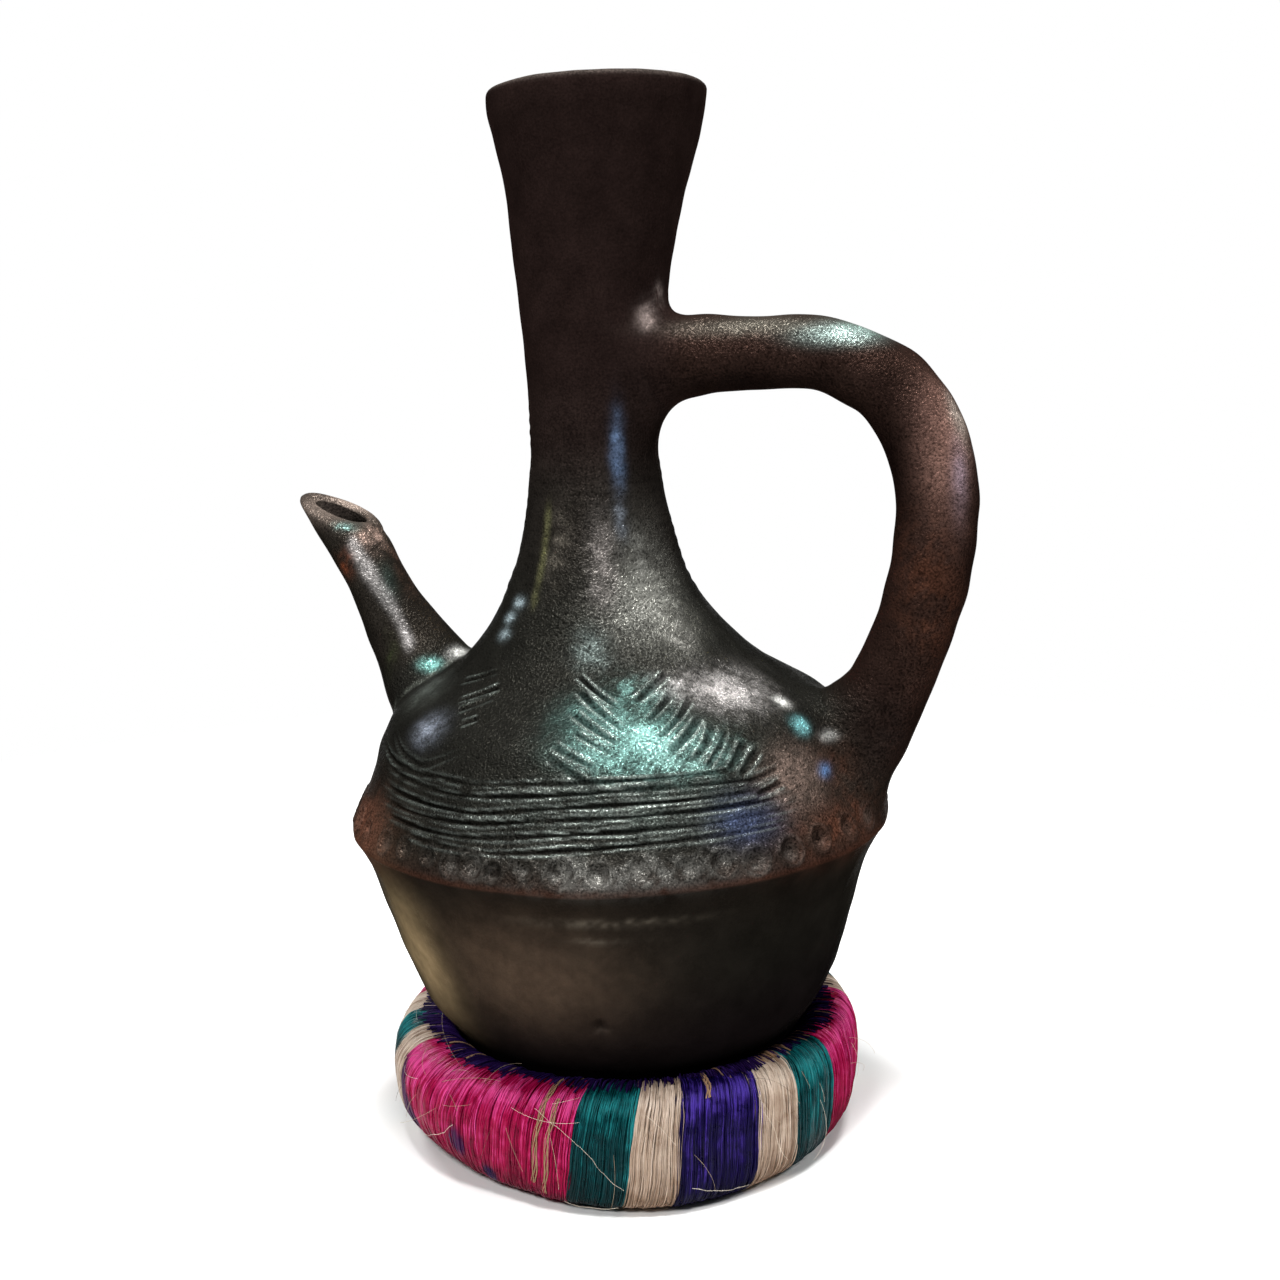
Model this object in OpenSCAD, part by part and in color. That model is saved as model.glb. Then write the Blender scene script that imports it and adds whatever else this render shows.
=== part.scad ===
// Coffee pot of burnished black clay, standing in a ring bound with dyed fibre.
// All sizes are in millimetres, +Z is up, the table is at z = 0 and the pot's axis is the Z axis.
// The spout points along -X and the handle along +X.

/* [Bowl] */
// Width of the flat under the pot
base_d = 48; // [40:1:60]
// Width of the clay wall at the seam
seam_d = 136.8; // [126:0.2:146]
// Height of the seam over the pot's underside
bowl_h = 72; // [64:0.5:80]
// Height of the upright wall just below the seam
upright_h = 3.5; // [2:0.1:6]
// Thickness of the pot's wall
wall = 5.5; // [4:0.1:7]
// Thickness of the pot's floor
floor_t = 6.5; // [4:0.1:9]

/* [Seam band] */
// How far the band of clay over the seam stands out from the wall
band_out = 4.9; // [3:0.1:8]
// Height of the band
band_h = 24; // [20:0.5:28]
// How far the band reaches down over the bowl
band_drop = 5.5; // [4:0.1:8]
// Number of fingertip marks round the band
dimple_count = 45; // [30:1:54]
// Width of a fingertip mark
dimple_d = 7; // [5:0.1:8]
// Depth of a fingertip mark
dimple_depth = 1.1; // [0.6:0.1:1.6]

/* [Shoulder] */
// How far the wall comes in from the seam to the knee, where the shoulder turns in
knee_in = 8; // [4:0.2:14]
// Height of the knee over the band's upper edge
knee_rise = 19; // [16:0.5:24]
// Number of lines cut round the shoulder
line_count = 6; // [3:1:6]
// Height of the lowest line over the band's upper edge
line_rise = 0.5; // [0.3:0.1:1]
// Distance from one line to the next
line_pitch = 2.7; // [2.2:0.1:3]
// Width of a line
line_w = 1.5; // [1:0.1:2]
// Part of a turn that the lines run along each side of the pot, in degrees
line_turn = 104; // [60:1:104]

/* [Neck] */
// Width of the neck where it is narrowest
neck_d = 34.2; // [31:0.2:40]
// Height of the narrowest place over the knee
neck_rise = 74.5; // [66:0.5:84]
// Length of the neck piece
neck_len = 54; // [46:0.5:60]
// How far the neck piece reaches below its narrowest place
neck_drop = 16; // [12:0.5:22]

/* [Mouth] */
// Width of the flared rim
rim_d = 57.8; // [52:0.2:66]
// Height of the rim over the narrowest place
rim_rise = 87; // [76:0.5:100]
// Thickness of the rim
rim_t = 4.2; // [3:0.1:6]

/* [Spout] */
// How far the spout's mouth reaches out from the knee
spout_reach = 20.1; // [16:0.1:28]
// How far inside the knee the spout's middle line starts
spout_in = 13; // [10:0.5:16]
// How far below the knee the spout's middle line starts
spout_drop = 7; // [5:0.5:10]
// Height of the spout's mouth over the knee
spout_rise = 54; // [46:0.5:62]
// Thickness of the spout below its mouth
spout_d = 16.4; // [14:0.2:20]
// Wall of the spout
spout_wall = 3; // [2.2:0.1:4]
// Width of the hole through the shoulder into the spout
spout_hole_d = 15; // [10:0.5:17]

/* [Handle] */
// How far the middle of the handle stands out from the wall at the seam
handle_reach = 22; // [16:0.2:30]
// How far below the knee the handle's foot is
foot_drop = 13; // [9:0.5:16]
// Height of the handle's upper end over the neck's narrowest place
handle_rise = 17.8; // [10:0.2:22]
// Thickness of the handle
handle_t = 20.4; // [16:0.2:24]
// Thickness of the handle measured across the pot
handle_w = 18.6; // [15:0.2:22]

/* [Ring stand] */
// Height of the ring
ring_h = 30; // [26:0.5:34]
// How far the middle of the ring's roll is inside the pot's wall at the seam
ring_in = 12.4; // [9:0.1:16]
// Width of the ring's roll over the wrapping
roll_w = 17.6; // [14:0.2:20]
// Thickness of the wrapped fibre
wrap_t = 1.8; // [1.2:0.1:2.4]
// Gap between one turn of fibre and the next
turn_gap = 0.6; // [0.5:0.05:1]
// Thickness of the binding along the ring's inner edge
binding_t = 0.9; // [0.5:0.1:1.4]

/* [Fits] */
// Film of slip between two joined pieces of clay
slip_gap = 0.1; // [0.05:0.01:0.2]
// Room between the fibre pieces
fibre_gap = 0.12; // [0.1:0.01:0.3]
// Room between the bowl and the ring that it sits in
seat_gap = 0.35; // [0.3:0.05:0.6]

/* [Hidden] */
$fn = 96;

clay = [0.09, 0.075, 0.07];
magenta = [0.70, 0.02, 0.22];
teal = [0.06, 0.30, 0.27];
natural = [0.72, 0.62, 0.48];
purple = [0.09, 0.04, 0.22];
straw = [0.62, 0.50, 0.30];

seam_r = seam_d / 2;
knee_r = seam_r - knee_in;
ring_r = seam_r - ring_in;
neck_r = neck_d / 2;
throat_r = neck_r - wall;
rim_r = rim_d / 2;

// Heights over the pot's underside
band_low = bowl_h - band_drop;
band_top = band_low + band_h;
knee_z = band_top + knee_rise;
neck_z = knee_z + neck_rise;
neck_low = neck_z - neck_drop;
neck_top = neck_low + neck_len;
rim_z = neck_z + rim_rise;
curve_h = bowl_h - upright_h;

// Smooth line through points, with the given number of steps between each two
function through(p, steps) = [
    for (i = [0 : len(p) - 2]) for (j = [0 : steps - 1])
        let (t = j / steps, a = p[max(i - 1, 0)], b = p[i], c = p[i + 1], d = p[min(i + 2, len(p) - 1)])
        0.5 * (2 * b + (c - a) * t + (2 * a - 5 * b + 4 * c - d) * t * t + (3 * b - a - 3 * c + d) * t * t * t),
    p[len(p) - 1]
];

function flip(p) = [for (i = [len(p) - 1 : -1 : 0]) p[i]];
function swap(p) = [for (q = p) [q[1], q[0]]];
function unit(v) = v / norm(v);

// Radius of a round bowl that rises from a flat of radius r0 to a straight side of radius r1
function bowl_r(r0, r1, share) = r0 + (r1 - r0) * pow(1 - pow(1 - share, 1.4), 1 / 1.5);

bowl_steps = 22;
bowl_shares = [for (i = [0 : bowl_steps]) pow(i / bowl_steps, 1.5)];
bowl_out = [for (s = bowl_shares) [bowl_r(base_d / 2, seam_r, s), s * curve_h]];
bowl_in = [
    for (s = bowl_shares)
        [bowl_r(base_d / 2 - wall / 2, seam_r - wall, s), floor_t + s * (curve_h - floor_t)]
];

// Outline of the pot over the band: shares of the way from the knee to the neck, in height and in radius
slope_shares = [[0.067, 0.864], [0.114, 0.702], [0.188, 0.51], [0.289, 0.349], [0.436, 0.203], [0.624, 0.088], [0.826, 0.02]];
shoulder_line = through(concat(
    [[band_top, seam_r], [band_top + 0.55 * knee_rise, seam_r - 0.42 * (seam_r - knee_r)], [knee_z, knee_r]],
    [for (s = slope_shares) [knee_z + s[0] * neck_rise, neck_r + s[1] * (knee_r - neck_r)]],
    [[neck_z, neck_r]]
), 4);
flare_steps = 16;
flare_line = [
    for (i = [1 : flare_steps])
        [neck_z + i / flare_steps * rim_rise, neck_r + pow(i / flare_steps, 1.6) * (rim_r - neck_r)]
];
outline = concat([[bowl_h, seam_r]], shoulder_line, flare_line);

function out_r(z) = lookup(z, outline);
function slope(z) = (out_r(z + 0.5) - out_r(z - 0.5));
function in_r(z) = max(throat_r, out_r(z) - wall * sqrt(1 + pow(slope(z), 2)));
function heights(z0, z1) = concat([z0], [for (q = outline) if (q[0] > z0 + 0.2 && q[0] < z1 - 0.2) q[0]], [z1]);

// Section of the pot's whole outside from the seam up, grown by a gap, to trim what is luted on
module outside(gap) {
    rotate_extrude()
        polygon(concat(
            [[0, bowl_h]],
            [for (q = outline) [q[1] + gap, q[0]]],
            [[0, rim_z]]
        ));
}

// The ring's roll: corners of its section, counted from the outer side over the top
roll_corners = 10;
roll_ratio = 2.6;
roll_a = roll_w / 2 - wrap_t / 2;
roll_b = (ring_h / 2 - sin(72) * wrap_t / 2) / pow(sin(72), 2 / roll_ratio);
function bent(v) = sign(v) * pow(abs(v), 2 / roll_ratio);
function roll_way(k) = [cos(36 * k), sin(36 * k)];
function roll_at(k, off) = [
    ring_r + roll_a * bent(cos(36 * k)) + off * cos(36 * k),
    ring_h / 2 + roll_b * bent(sin(36 * k)) + off * sin(36 * k)
];
function roll_mix(k, share, off) = roll_at(k, off) * (1 - share) + roll_at(k + 1, off) * share;

// The binding lies on the inner edge, and its bend is where the bowl sits
binding_in = wrap_t / 2 + fibre_gap;
binding_out = binding_in + binding_t;
seat = roll_at(4, binding_out);
seat_rise = lookup(seat[0], bowl_out);
seat_fall = (bowl_r(base_d / 2, seam_r, (seat_rise + 0.5) / curve_h)
    - bowl_r(base_d / 2, seam_r, (seat_rise - 0.5) / curve_h));
pot_z = seat[1] - seat_rise + seat_gap * sqrt(1 + seat_fall * seat_fall) / seat_fall;

// Fibre wraps in order round the ring: name's colour and number of turns
wrap_turns = [8, 2, 2, 2, 3, 2, 2, 6, 2, 2, 3, 2, 5, 2, 2, 3, 2, 5, 2, 2, 1];
function turns_before(i) = i == 0 ? 0 : wrap_turns[i - 1] + turns_before(i - 1);
turn_angle = 360 / turns_before(len(wrap_turns));
start_angle = -142.8;
end_ratio = 0.012;

// Six corners of the flat strand, u turns after the first turn's start
function strand(u) =
    let (k = 5 + u * roll_corners, low = floor(k), share = k - low,
        mid = roll_mix(low, share, 0),
        way = unit(roll_way(low) * (1 - share) + roll_way(low + 1) * share),
        a = start_angle + u * turn_angle,
        half = mid[0] * tan(turn_angle / 2) - turn_gap / 2,
        edge = half - 0.35 * wrap_t)
    [
        for (q = [[half, 0], [edge, 0.5], [-edge, 0.5], [-half, 0], [-edge, -0.5], [edge, -0.5]])
            let (r = mid[0] + q[1] * wrap_t * way[0])
            [
                r * cos(a) - q[0] * sin(a),
                r * sin(a) + q[0] * cos(a),
                mid[1] + q[1] * wrap_t * way[1]
            ]
    ];

turn_gaps = [for (k = [1 : roll_corners]) norm(strand(k / roll_corners)[0] - strand(1 + k / roll_corners)[3])];
echo(str("least gap between turns of fibre: ", min(turn_gaps), " mm"));

// Closed tube over rings of equal size, with flat ends
module tube(rings) {
    n = len(rings[0]);
    m = len(rings);
    sides = [
        for (i = [0 : m - 2]) for (j = [0 : n - 1])
            let (a = i * n + j, b = i * n + (j + 1) % n)
            each [[a, b, b + n], [a, b + n, a + n]]
    ];
    ends = [
        for (j = [1 : n - 2]) each [[0, j + 1, j], [(m - 1) * n, (m - 1) * n + j, (m - 1) * n + j + 1]]
    ];
    polyhedron(points = [for (r = rings) each r], faces = concat(sides, ends));
}

module wrap(i) {
    first = turns_before(i);
    last = first + wrap_turns[i];
    tube(concat(
        [strand(first + end_ratio)],
        [for (k = [1 : wrap_turns[i] * roll_corners - 1]) strand(first + k / roll_corners)],
        [strand(last - end_ratio)]
    ));
}

// Station of a bent limb in the plane of spout and handle: place, lean in degrees and half sizes
function limb_ring(s, sides) = [
    for (j = [0 : sides - 1])
        let (a = 360 * j / sides, p = s[3] * cos(a), q = s[4] * sin(a))
        [s[0] + p * cos(s[2]), q, s[1] + p * sin(s[2])]
];

// Handle, from inside the neck round to inside the shoulder
handle_top = neck_z + handle_rise;
handle_drop = handle_top - (knee_z - foot_drop);
handle_span = seam_r + handle_reach - neck_r;
handle_shares = [
    [-0.08, 0, 90, 2.1, 1.5], [0.05, 0, 90, 1.6, 1.3], [0.18, 0, 90, 1.06, 1.02], [0.36, 0.01, 90, 0.91, 0.94],
    [0.59, -0.005, 82, 0.86, 0.94], [0.81, -0.065, 48, 0.98, 1], [0.908, -0.14, 30, 1.03, 1],
    [0.97, -0.245, 14, 1.06, 1], [1, -0.37, -2, 1.03, 1], [0.975, -0.52, -14, 1, 1], [0.903, -0.67, -24, 1, 1],
    [0.77, -0.85, -30, 1.08, 1.1], [0.68, -0.96, -32, 1.25, 1.25], [0.58, -1.07, -34, 1.4, 1.35]
];
handle_line = through([
    for (s = handle_shares)
        [neck_r + s[0] * handle_span, handle_top + s[1] * handle_drop, s[2], s[3] * handle_t / 2, s[4] * handle_w / 2]
], 3);

// Spout, from inside the shoulder up to its slanted mouth
spout_root = knee_r - spout_in;
spout_low = knee_z - spout_drop;
spout_run = spout_in + spout_reach;
spout_climb = spout_drop + spout_rise;
spout_shares = [
    [0, 0, 28, 1.8, 1.8], [0.2, 0.2, 28, 1.72, 1.7], [0.3, 0.33, 29, 1.44, 1.44], [0.41, 0.45, 29, 1.25, 1.25],
    [0.5, 0.54, 28, 1.1, 1.12], [0.6, 0.64, 28, 1.02, 1.05], [0.69, 0.735, 28, 1, 1], [0.79, 0.82, 24, 1, 0.98],
    [0.89, 0.91, 8, 1.02, 0.95], [0.95, 0.96, -4, 1.1, 0.93], [1, 1, -13, 1.2, 0.92]
];
spout_line = through([
    for (s = spout_shares)
        [-spout_root - s[0] * spout_run, spout_low + s[1] * spout_climb, s[2], s[3] * spout_d / 2, s[4] * spout_d / 2]
], 2);
function narrowed(s, by) = [s[0], s[1], s[2], s[3] - by, s[4] - by];
function moved(s, along) = [s[0] - along * sin(s[2]), s[1] + along * cos(s[2]), s[2], s[3], s[4]];

module base_bowl() color(clay) translate([0, 0, pot_z])
    rotate_extrude()
        polygon(concat(
            [[0, 0]], bowl_out, [[seam_r, bowl_h]],
            [[seam_r - wall, bowl_h]], flip(bowl_in), [[0, floor_t]]
        ));

module band_solid(gap) {
    shares = [[0.05, 0], [0.38, 0.21], [0.8, 0.36], [1, 0.54], [0.96, 0.68], [0.66, 0.86], [0.22, 1]];
    edge = through([for (s = shares) [seam_r + slip_gap + s[0] * (band_out - slip_gap), band_low + s[1] * band_h]], 4);
    rotate_extrude()
        polygon(concat(
            [[seam_r + slip_gap - gap, band_low - gap]],
            [for (q = edge) [q[0] + gap, q[1]]],
            [[seam_r + slip_gap - gap, band_top + gap]]
        ));
}

module seam_band() color(clay) translate([0, 0, pot_z])
    difference() {
        band_solid(0);
        ball = (dimple_d * dimple_d / 4 + dimple_depth * dimple_depth) / (2 * dimple_depth);
        place = [seam_r + 0.78 * band_out, band_low + 0.81 * band_h];
        lift = ball - dimple_depth;
        for (i = [0 : dimple_count - 1])
            rotate([0, 0, 360 / dimple_count * i])
                translate([place[0] + lift * cos(26), 0, place[1] + lift * sin(26)])
                    sphere(r = ball);
    }

module shoulder() color(clay) translate([0, 0, pot_z])
    difference() {
        zs = heights(bowl_h + slip_gap, neck_low);
        rotate_extrude()
            polygon(concat(
                [for (z = zs) [out_r(z), z]],
                flip([for (z = zs) [in_r(z), z]])
            ));
        for (side = [-90, 90]) for (i = [0 : line_count - 1])
            let (z = band_top + line_rise + i * line_pitch)
            rotate([0, 0, side - line_turn / 2])
                rotate_extrude(angle = line_turn)
                    translate([out_r(z), z])
                        circle(d = line_w);
        translate([-spout_root, 0, spout_low])
            rotate([0, -28, 0])
                translate([0, 0, -0.2 * spout_climb])
                    cylinder(d = spout_hole_d, h = spout_climb * 0.8);
    }

module neck() color(clay) translate([0, 0, pot_z])
    difference() {
        zs = heights(neck_low + slip_gap, neck_top);
        rotate_extrude()
            polygon(concat([[0, zs[0]]], [for (z = zs) [out_r(z), z]], [[0, neck_top]]));
        translate([0, 0, neck_low - 1])
            cylinder(r = throat_r, h = neck_len + 2);
    }

module mouth_funnel() color(clay) translate([0, 0, pot_z]) {
    low = neck_top + slip_gap;
    zs = heights(low, rim_z - rim_t / 2);
    lip = [for (a = [0 : 20 : 180]) [rim_r - rim_t / 2 + rim_t / 2 * cos(a), rim_z - rim_t / 2 + rim_t / 2 * sin(a)]];
    reach = rim_z - rim_t / 2 - low;
    rotate_extrude()
        polygon(concat(
            [for (z = zs) if (z < rim_z - rim_t / 2 - 2) [out_r(z), z]],
            lip,
            [for (i = [9 : -1 : 0]) [throat_r + pow(i / 10, 1.3) * (rim_r - rim_t - throat_r), low + i / 10 * reach]]
        ));
}

module spout() color(clay) translate([0, 0, pot_z])
    difference() {
        last = spout_line[len(spout_line) - 1];
        tube(flip([for (s = spout_line) limb_ring(s, 20)]));
        tube(flip(concat(
            [limb_ring(moved(narrowed(spout_line[0], spout_wall), -2), 16)],
            [for (s = spout_line) limb_ring(narrowed(s, spout_wall), 16)],
            [limb_ring(moved(narrowed(last, spout_wall), 2), 16)]
        )));
        outside(slip_gap);
    }

module handle() color(clay) translate([0, 0, pot_z])
    difference() {
        tube([for (s = handle_line) limb_ring(s, 16)]);
        outside(slip_gap);
        band_solid(slip_gap);
    }

module ring_core() color(straw)
    rotate_extrude()
        polygon([for (k = [0 : roll_corners - 1]) roll_at(k, -wrap_t / 2 - fibre_gap)]);

module edge_binding() color(purple)
    rotate_extrude()
        polygon([
            roll_mix(3, 0.35, binding_in), roll_at(4, binding_in), roll_mix(4, 0.5, binding_in),
            roll_mix(4, 0.5, binding_out), roll_at(4, binding_out), roll_mix(3, 0.35, binding_out)
        ]);

module wrap_magenta_left() color(magenta) wrap(0);
module wrap_magenta_front() color(magenta) wrap(1);
module wrap_teal_front() color(teal) wrap(2);
module wrap_natural_front() color(natural) wrap(3);
module wrap_purple_front() color(purple) wrap(4);
module wrap_natural_right() color(natural) wrap(5);
module wrap_teal_right() color(teal) wrap(6);
module wrap_magenta_right() color(magenta) wrap(7);
module wrap_natural_back_1() color(natural) wrap(8);
module wrap_teal_back_1() color(teal) wrap(9);
module wrap_purple_back_1() color(purple) wrap(10);
module wrap_natural_back_2() color(natural) wrap(11);
module wrap_magenta_back_1() color(magenta) wrap(12);
module wrap_teal_back_2() color(teal) wrap(13);
module wrap_natural_back_3() color(natural) wrap(14);
module wrap_purple_back_2() color(purple) wrap(15);
module wrap_natural_back_4() color(natural) wrap(16);
module wrap_magenta_back_2() color(magenta) wrap(17);
module wrap_natural_back_5() color(natural) wrap(18);
module wrap_teal_left() color(teal) wrap(19);
module wrap_natural_left() color(natural) wrap(20);

base_bowl();
seam_band();
shoulder();
neck();
mouth_funnel();
spout();
handle();
ring_core();
edge_binding();
wrap_magenta_left();
wrap_magenta_front();
wrap_teal_front();
wrap_natural_front();
wrap_purple_front();
wrap_natural_right();
wrap_teal_right();
wrap_magenta_right();
wrap_natural_back_1();
wrap_teal_back_1();
wrap_purple_back_1();
wrap_natural_back_2();
wrap_magenta_back_1();
wrap_teal_back_2();
wrap_natural_back_3();
wrap_purple_back_2();
wrap_natural_back_4();
wrap_magenta_back_2();
wrap_natural_back_5();
wrap_teal_left();
wrap_natural_left();
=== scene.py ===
"""Clay coffee pot in a ring of dyed fibre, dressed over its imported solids.

Sizes inside the classes are in millimetres. Meshes are written in metres, in the
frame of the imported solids: the table at z = 0, the pot's axis on Z, the spout
along -X and the handle along +X. A turn is an angle round the axis in degrees,
counted from the side that faces the camera, positive to its right.
"""
import logging
import math
from dataclasses import dataclass, field
from enum import Enum
from typing import Callable, Optional, Sequence

import bpy
import numpy as np
from mathutils import Matrix, Vector


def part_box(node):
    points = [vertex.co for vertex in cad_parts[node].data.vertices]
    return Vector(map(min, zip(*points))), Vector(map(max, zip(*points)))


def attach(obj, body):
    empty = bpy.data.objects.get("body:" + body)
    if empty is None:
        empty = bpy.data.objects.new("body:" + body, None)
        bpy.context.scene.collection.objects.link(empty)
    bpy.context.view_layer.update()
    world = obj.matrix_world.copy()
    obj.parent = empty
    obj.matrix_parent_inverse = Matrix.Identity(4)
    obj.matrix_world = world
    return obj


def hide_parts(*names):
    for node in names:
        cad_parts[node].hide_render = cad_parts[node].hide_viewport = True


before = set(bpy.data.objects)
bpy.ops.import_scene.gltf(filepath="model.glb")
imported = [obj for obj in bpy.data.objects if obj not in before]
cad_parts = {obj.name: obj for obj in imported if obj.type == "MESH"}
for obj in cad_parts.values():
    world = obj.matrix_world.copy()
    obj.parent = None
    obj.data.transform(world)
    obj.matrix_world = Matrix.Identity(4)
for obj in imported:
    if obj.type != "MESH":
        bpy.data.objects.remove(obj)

Array = np.ndarray
Colour = tuple[float, float, float]
Distance = Callable[[Array], Array]
Material = bpy.types.Material
Piece = bpy.types.Object
Socket = bpy.types.NodeSocket

LOG = logging.getLogger("coffee_pot")
# Metres in a millimetre
MM = 0.001
# Angle from +X to the side that faces the camera, in degrees
FACING = -70.0
# Angle from +X to the camera's right, in radians
RIGHT = math.radians(90.0 + FACING)
# A whole turn in radians, as the fibres' random phases take it
WHOLE_TURN = 6.28
# Range that holds most values of a noise texture
MOST = (0.3, 0.7)


class Flow(Enum):
    """How a curve runs through its points."""

    STEADY = "never past its points"
    LOOSE = "round, as a bent wire"


class Dye(Enum):
    """Colours of the bound fibre, by the record's material slots."""

    MAGENTA = "magenta"
    TEAL = "teal"
    NATURAL = "natural"
    PURPLE = "purple"


def ease(x: Array, low: float, high: float) -> Array:
    """Soft step from 0 at low to 1 at high.

    Args:
        x: Values to step.
        low: Where the step starts.
        high: Where the step ends.

    Returns:
        The stepped values.
    """
    t = np.clip((x - low) / (high - low), 0.0, 1.0)
    return t * t * (3.0 - 2.0 * t)


def facing(turn: Array) -> Array:
    """Angle from +X in radians for a turn from the camera's side."""
    return np.radians(np.asarray(turn, float) + FACING)


@dataclass
class SmoothLine:
    """Smooth curve through points: the first column runs, the others follow."""

    points: Sequence[Sequence[float]]
    flow: Flow = Flow.STEADY

    def __post_init__(self) -> None:
        """Work out the slope of the curve at each point."""
        table = np.asarray(self.points, float)
        self.xs, self.ys = table[:, 0], table[:, 1:]
        step = np.diff(self.xs)[:, None]
        rise = np.diff(self.ys, axis=0) / step
        slope = np.vstack([rise[:1], rise])
        slope[-1] = rise[-1]
        if len(self.xs) > 2:
            before, after = rise[:-1], rise[1:]
            first, second = step[:-1], step[1:]
            if self.flow is Flow.LOOSE:
                slope[1:-1] = (before * first + after * second) / (first + second)
            else:
                same = before * after > 0
                a, b = np.where(same, before, 1.0), np.where(same, after, 1.0)
                weighed = (2 * second + first) / a + (second + 2 * first) / b
                mean = 3 * (first + second) / weighed
                slope[1:-1] = np.where(same, mean, 0.0)
        self.slopes = slope

    def __call__(self, x: Array) -> Array:
        """Values of the curve.

        Args:
            x: Places along the first column.

        Returns:
            One value for each place, or a row of them where the curve has several.
        """
        x = np.asarray(x, float)
        i = np.clip(np.searchsorted(self.xs, x, "right") - 1, 0, len(self.xs) - 2)
        h = (self.xs[i + 1] - self.xs[i])[..., None]
        t = np.clip((x - self.xs[i])[..., None] / h, 0.0, 1.0)
        y = (
            (2 * t**3 - 3 * t**2 + 1) * self.ys[i]
            + (t**3 - 2 * t**2 + t) * h * self.slopes[i]
            + (3 * t**2 - 2 * t**3) * self.ys[i + 1]
            + (t**3 - t**2) * h * self.slopes[i + 1]
        )
        return y[..., 0] if self.ys.shape[1] == 1 else y


@dataclass(frozen=True)
class Waves:
    """Slow random waves through space, for what a hand leaves uneven."""

    length: float
    seed: int
    count: int = 16

    def at(self, p: Array) -> Array:
        """Height of the waves.

        Args:
            p: Points of shape (..., 3).

        Returns:
            One height for each point, about -2 to 2.
        """
        rng = np.random.default_rng(self.seed)
        total = np.zeros(p.shape[:-1])
        for _ in range(self.count):
            way = rng.normal(size=3)
            way *= 2 * math.pi * rng.uniform(0.6, 1.5) / (self.length * np.linalg.norm(way))
            total += np.sin(p @ way + rng.uniform(0, 2 * math.pi))
        return total / math.sqrt(self.count / 2)


def resample(path: Array, step: float) -> Array:
    """Points at even steps along a path.

    Args:
        path: Points of the path, one in each row.
        step: Distance wanted between points.

    Returns:
        The new points, with both ends kept.
    """
    far = np.concatenate([[0.0], np.cumsum(np.linalg.norm(np.diff(path, axis=0), axis=1))])
    places = np.linspace(0.0, far[-1], max(int(math.ceil(far[-1] / step)), 1) + 1)
    return np.stack([np.interp(places, far, path[:, k]) for k in range(path.shape[1])], axis=1)


def paint(mesh: bpy.types.Mesh, name: str, values: Array) -> None:
    """Store values on a mesh's points.

    Args:
        mesh: Mesh to store on.
        name: Name that the materials read.
        values: One number or one colour for each point.
    """
    if values.ndim == 2:
        layer = mesh.attributes.new(name, "FLOAT_COLOR", "POINT")
        opaque = np.hstack([values, np.ones((len(values), 1))])
        layer.data.foreach_set("color", opaque.astype(np.float32).ravel())
    else:
        layer = mesh.attributes.new(name, "FLOAT", "POINT")
        layer.data.foreach_set("value", values.astype(np.float32))


@dataclass
class RingSkin:
    """Rows of points round a piece, joined into one closed skin.

    Start and end are poles that close the first and the last row. Crisp rows keep a sharp
    edge. The cut is the height of cut lines on the first points, below zero in a line and
    above it on its edges.
    """

    rows: Array
    loop: bool = False
    start: Optional[Array] = None
    end: Optional[Array] = None
    crisp: Sequence[int] = ()
    cut: Optional[Array] = None

    def points(self) -> Array:
        """All points of the skin in one list, poles last."""
        poles = [p[None] for p in (self.start, self.end) if p is not None]
        return np.vstack([self.rows.reshape(-1, 3), *poles])

    def build(self, name: str) -> Piece:
        """Write the skin as a smooth mesh object.

        Args:
            name: Name of the piece.

        Returns:
            The new object, at the origin.
        """
        m, n = self.rows.shape[:2]
        here = np.arange(m * n).reshape(m, n)
        beside = np.roll(here, -1, axis=1)
        low = np.arange(m if self.loop else m - 1)
        high = (low + 1) % m
        quads = np.stack([here[low], beside[low], beside[high], here[high]], axis=-1)
        faces = quads.reshape(-1, 4).tolist()
        pole = m * n
        if self.start is not None:
            faces += np.stack([np.full(n, pole), beside[0], here[0]], axis=-1).tolist()
            pole += 1
        if self.end is not None:
            faces += np.stack([here[-1], beside[-1], np.full(n, pole)], axis=-1).tolist()
        mesh = bpy.data.meshes.new(name)
        mesh.from_pydata((self.points() * MM).tolist(), [], faces)
        mesh.update()
        mesh.shade_smooth()
        if len(self.crisp):
            ends = np.empty(2 * len(mesh.edges), np.int32)
            mesh.edges.foreach_get("vertices", ends)
            row = ends.reshape(-1, 2) // n
            edge = mesh.attributes.new("sharp_edge", "BOOLEAN", "EDGE")
            sharp = (row[:, 0] == row[:, 1]) & np.isin(row[:, 0], list(self.crisp))
            edge.data.foreach_set("value", sharp)
        piece = bpy.data.objects.new(name, mesh)
        bpy.context.scene.collection.objects.link(piece)
        return piece


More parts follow.
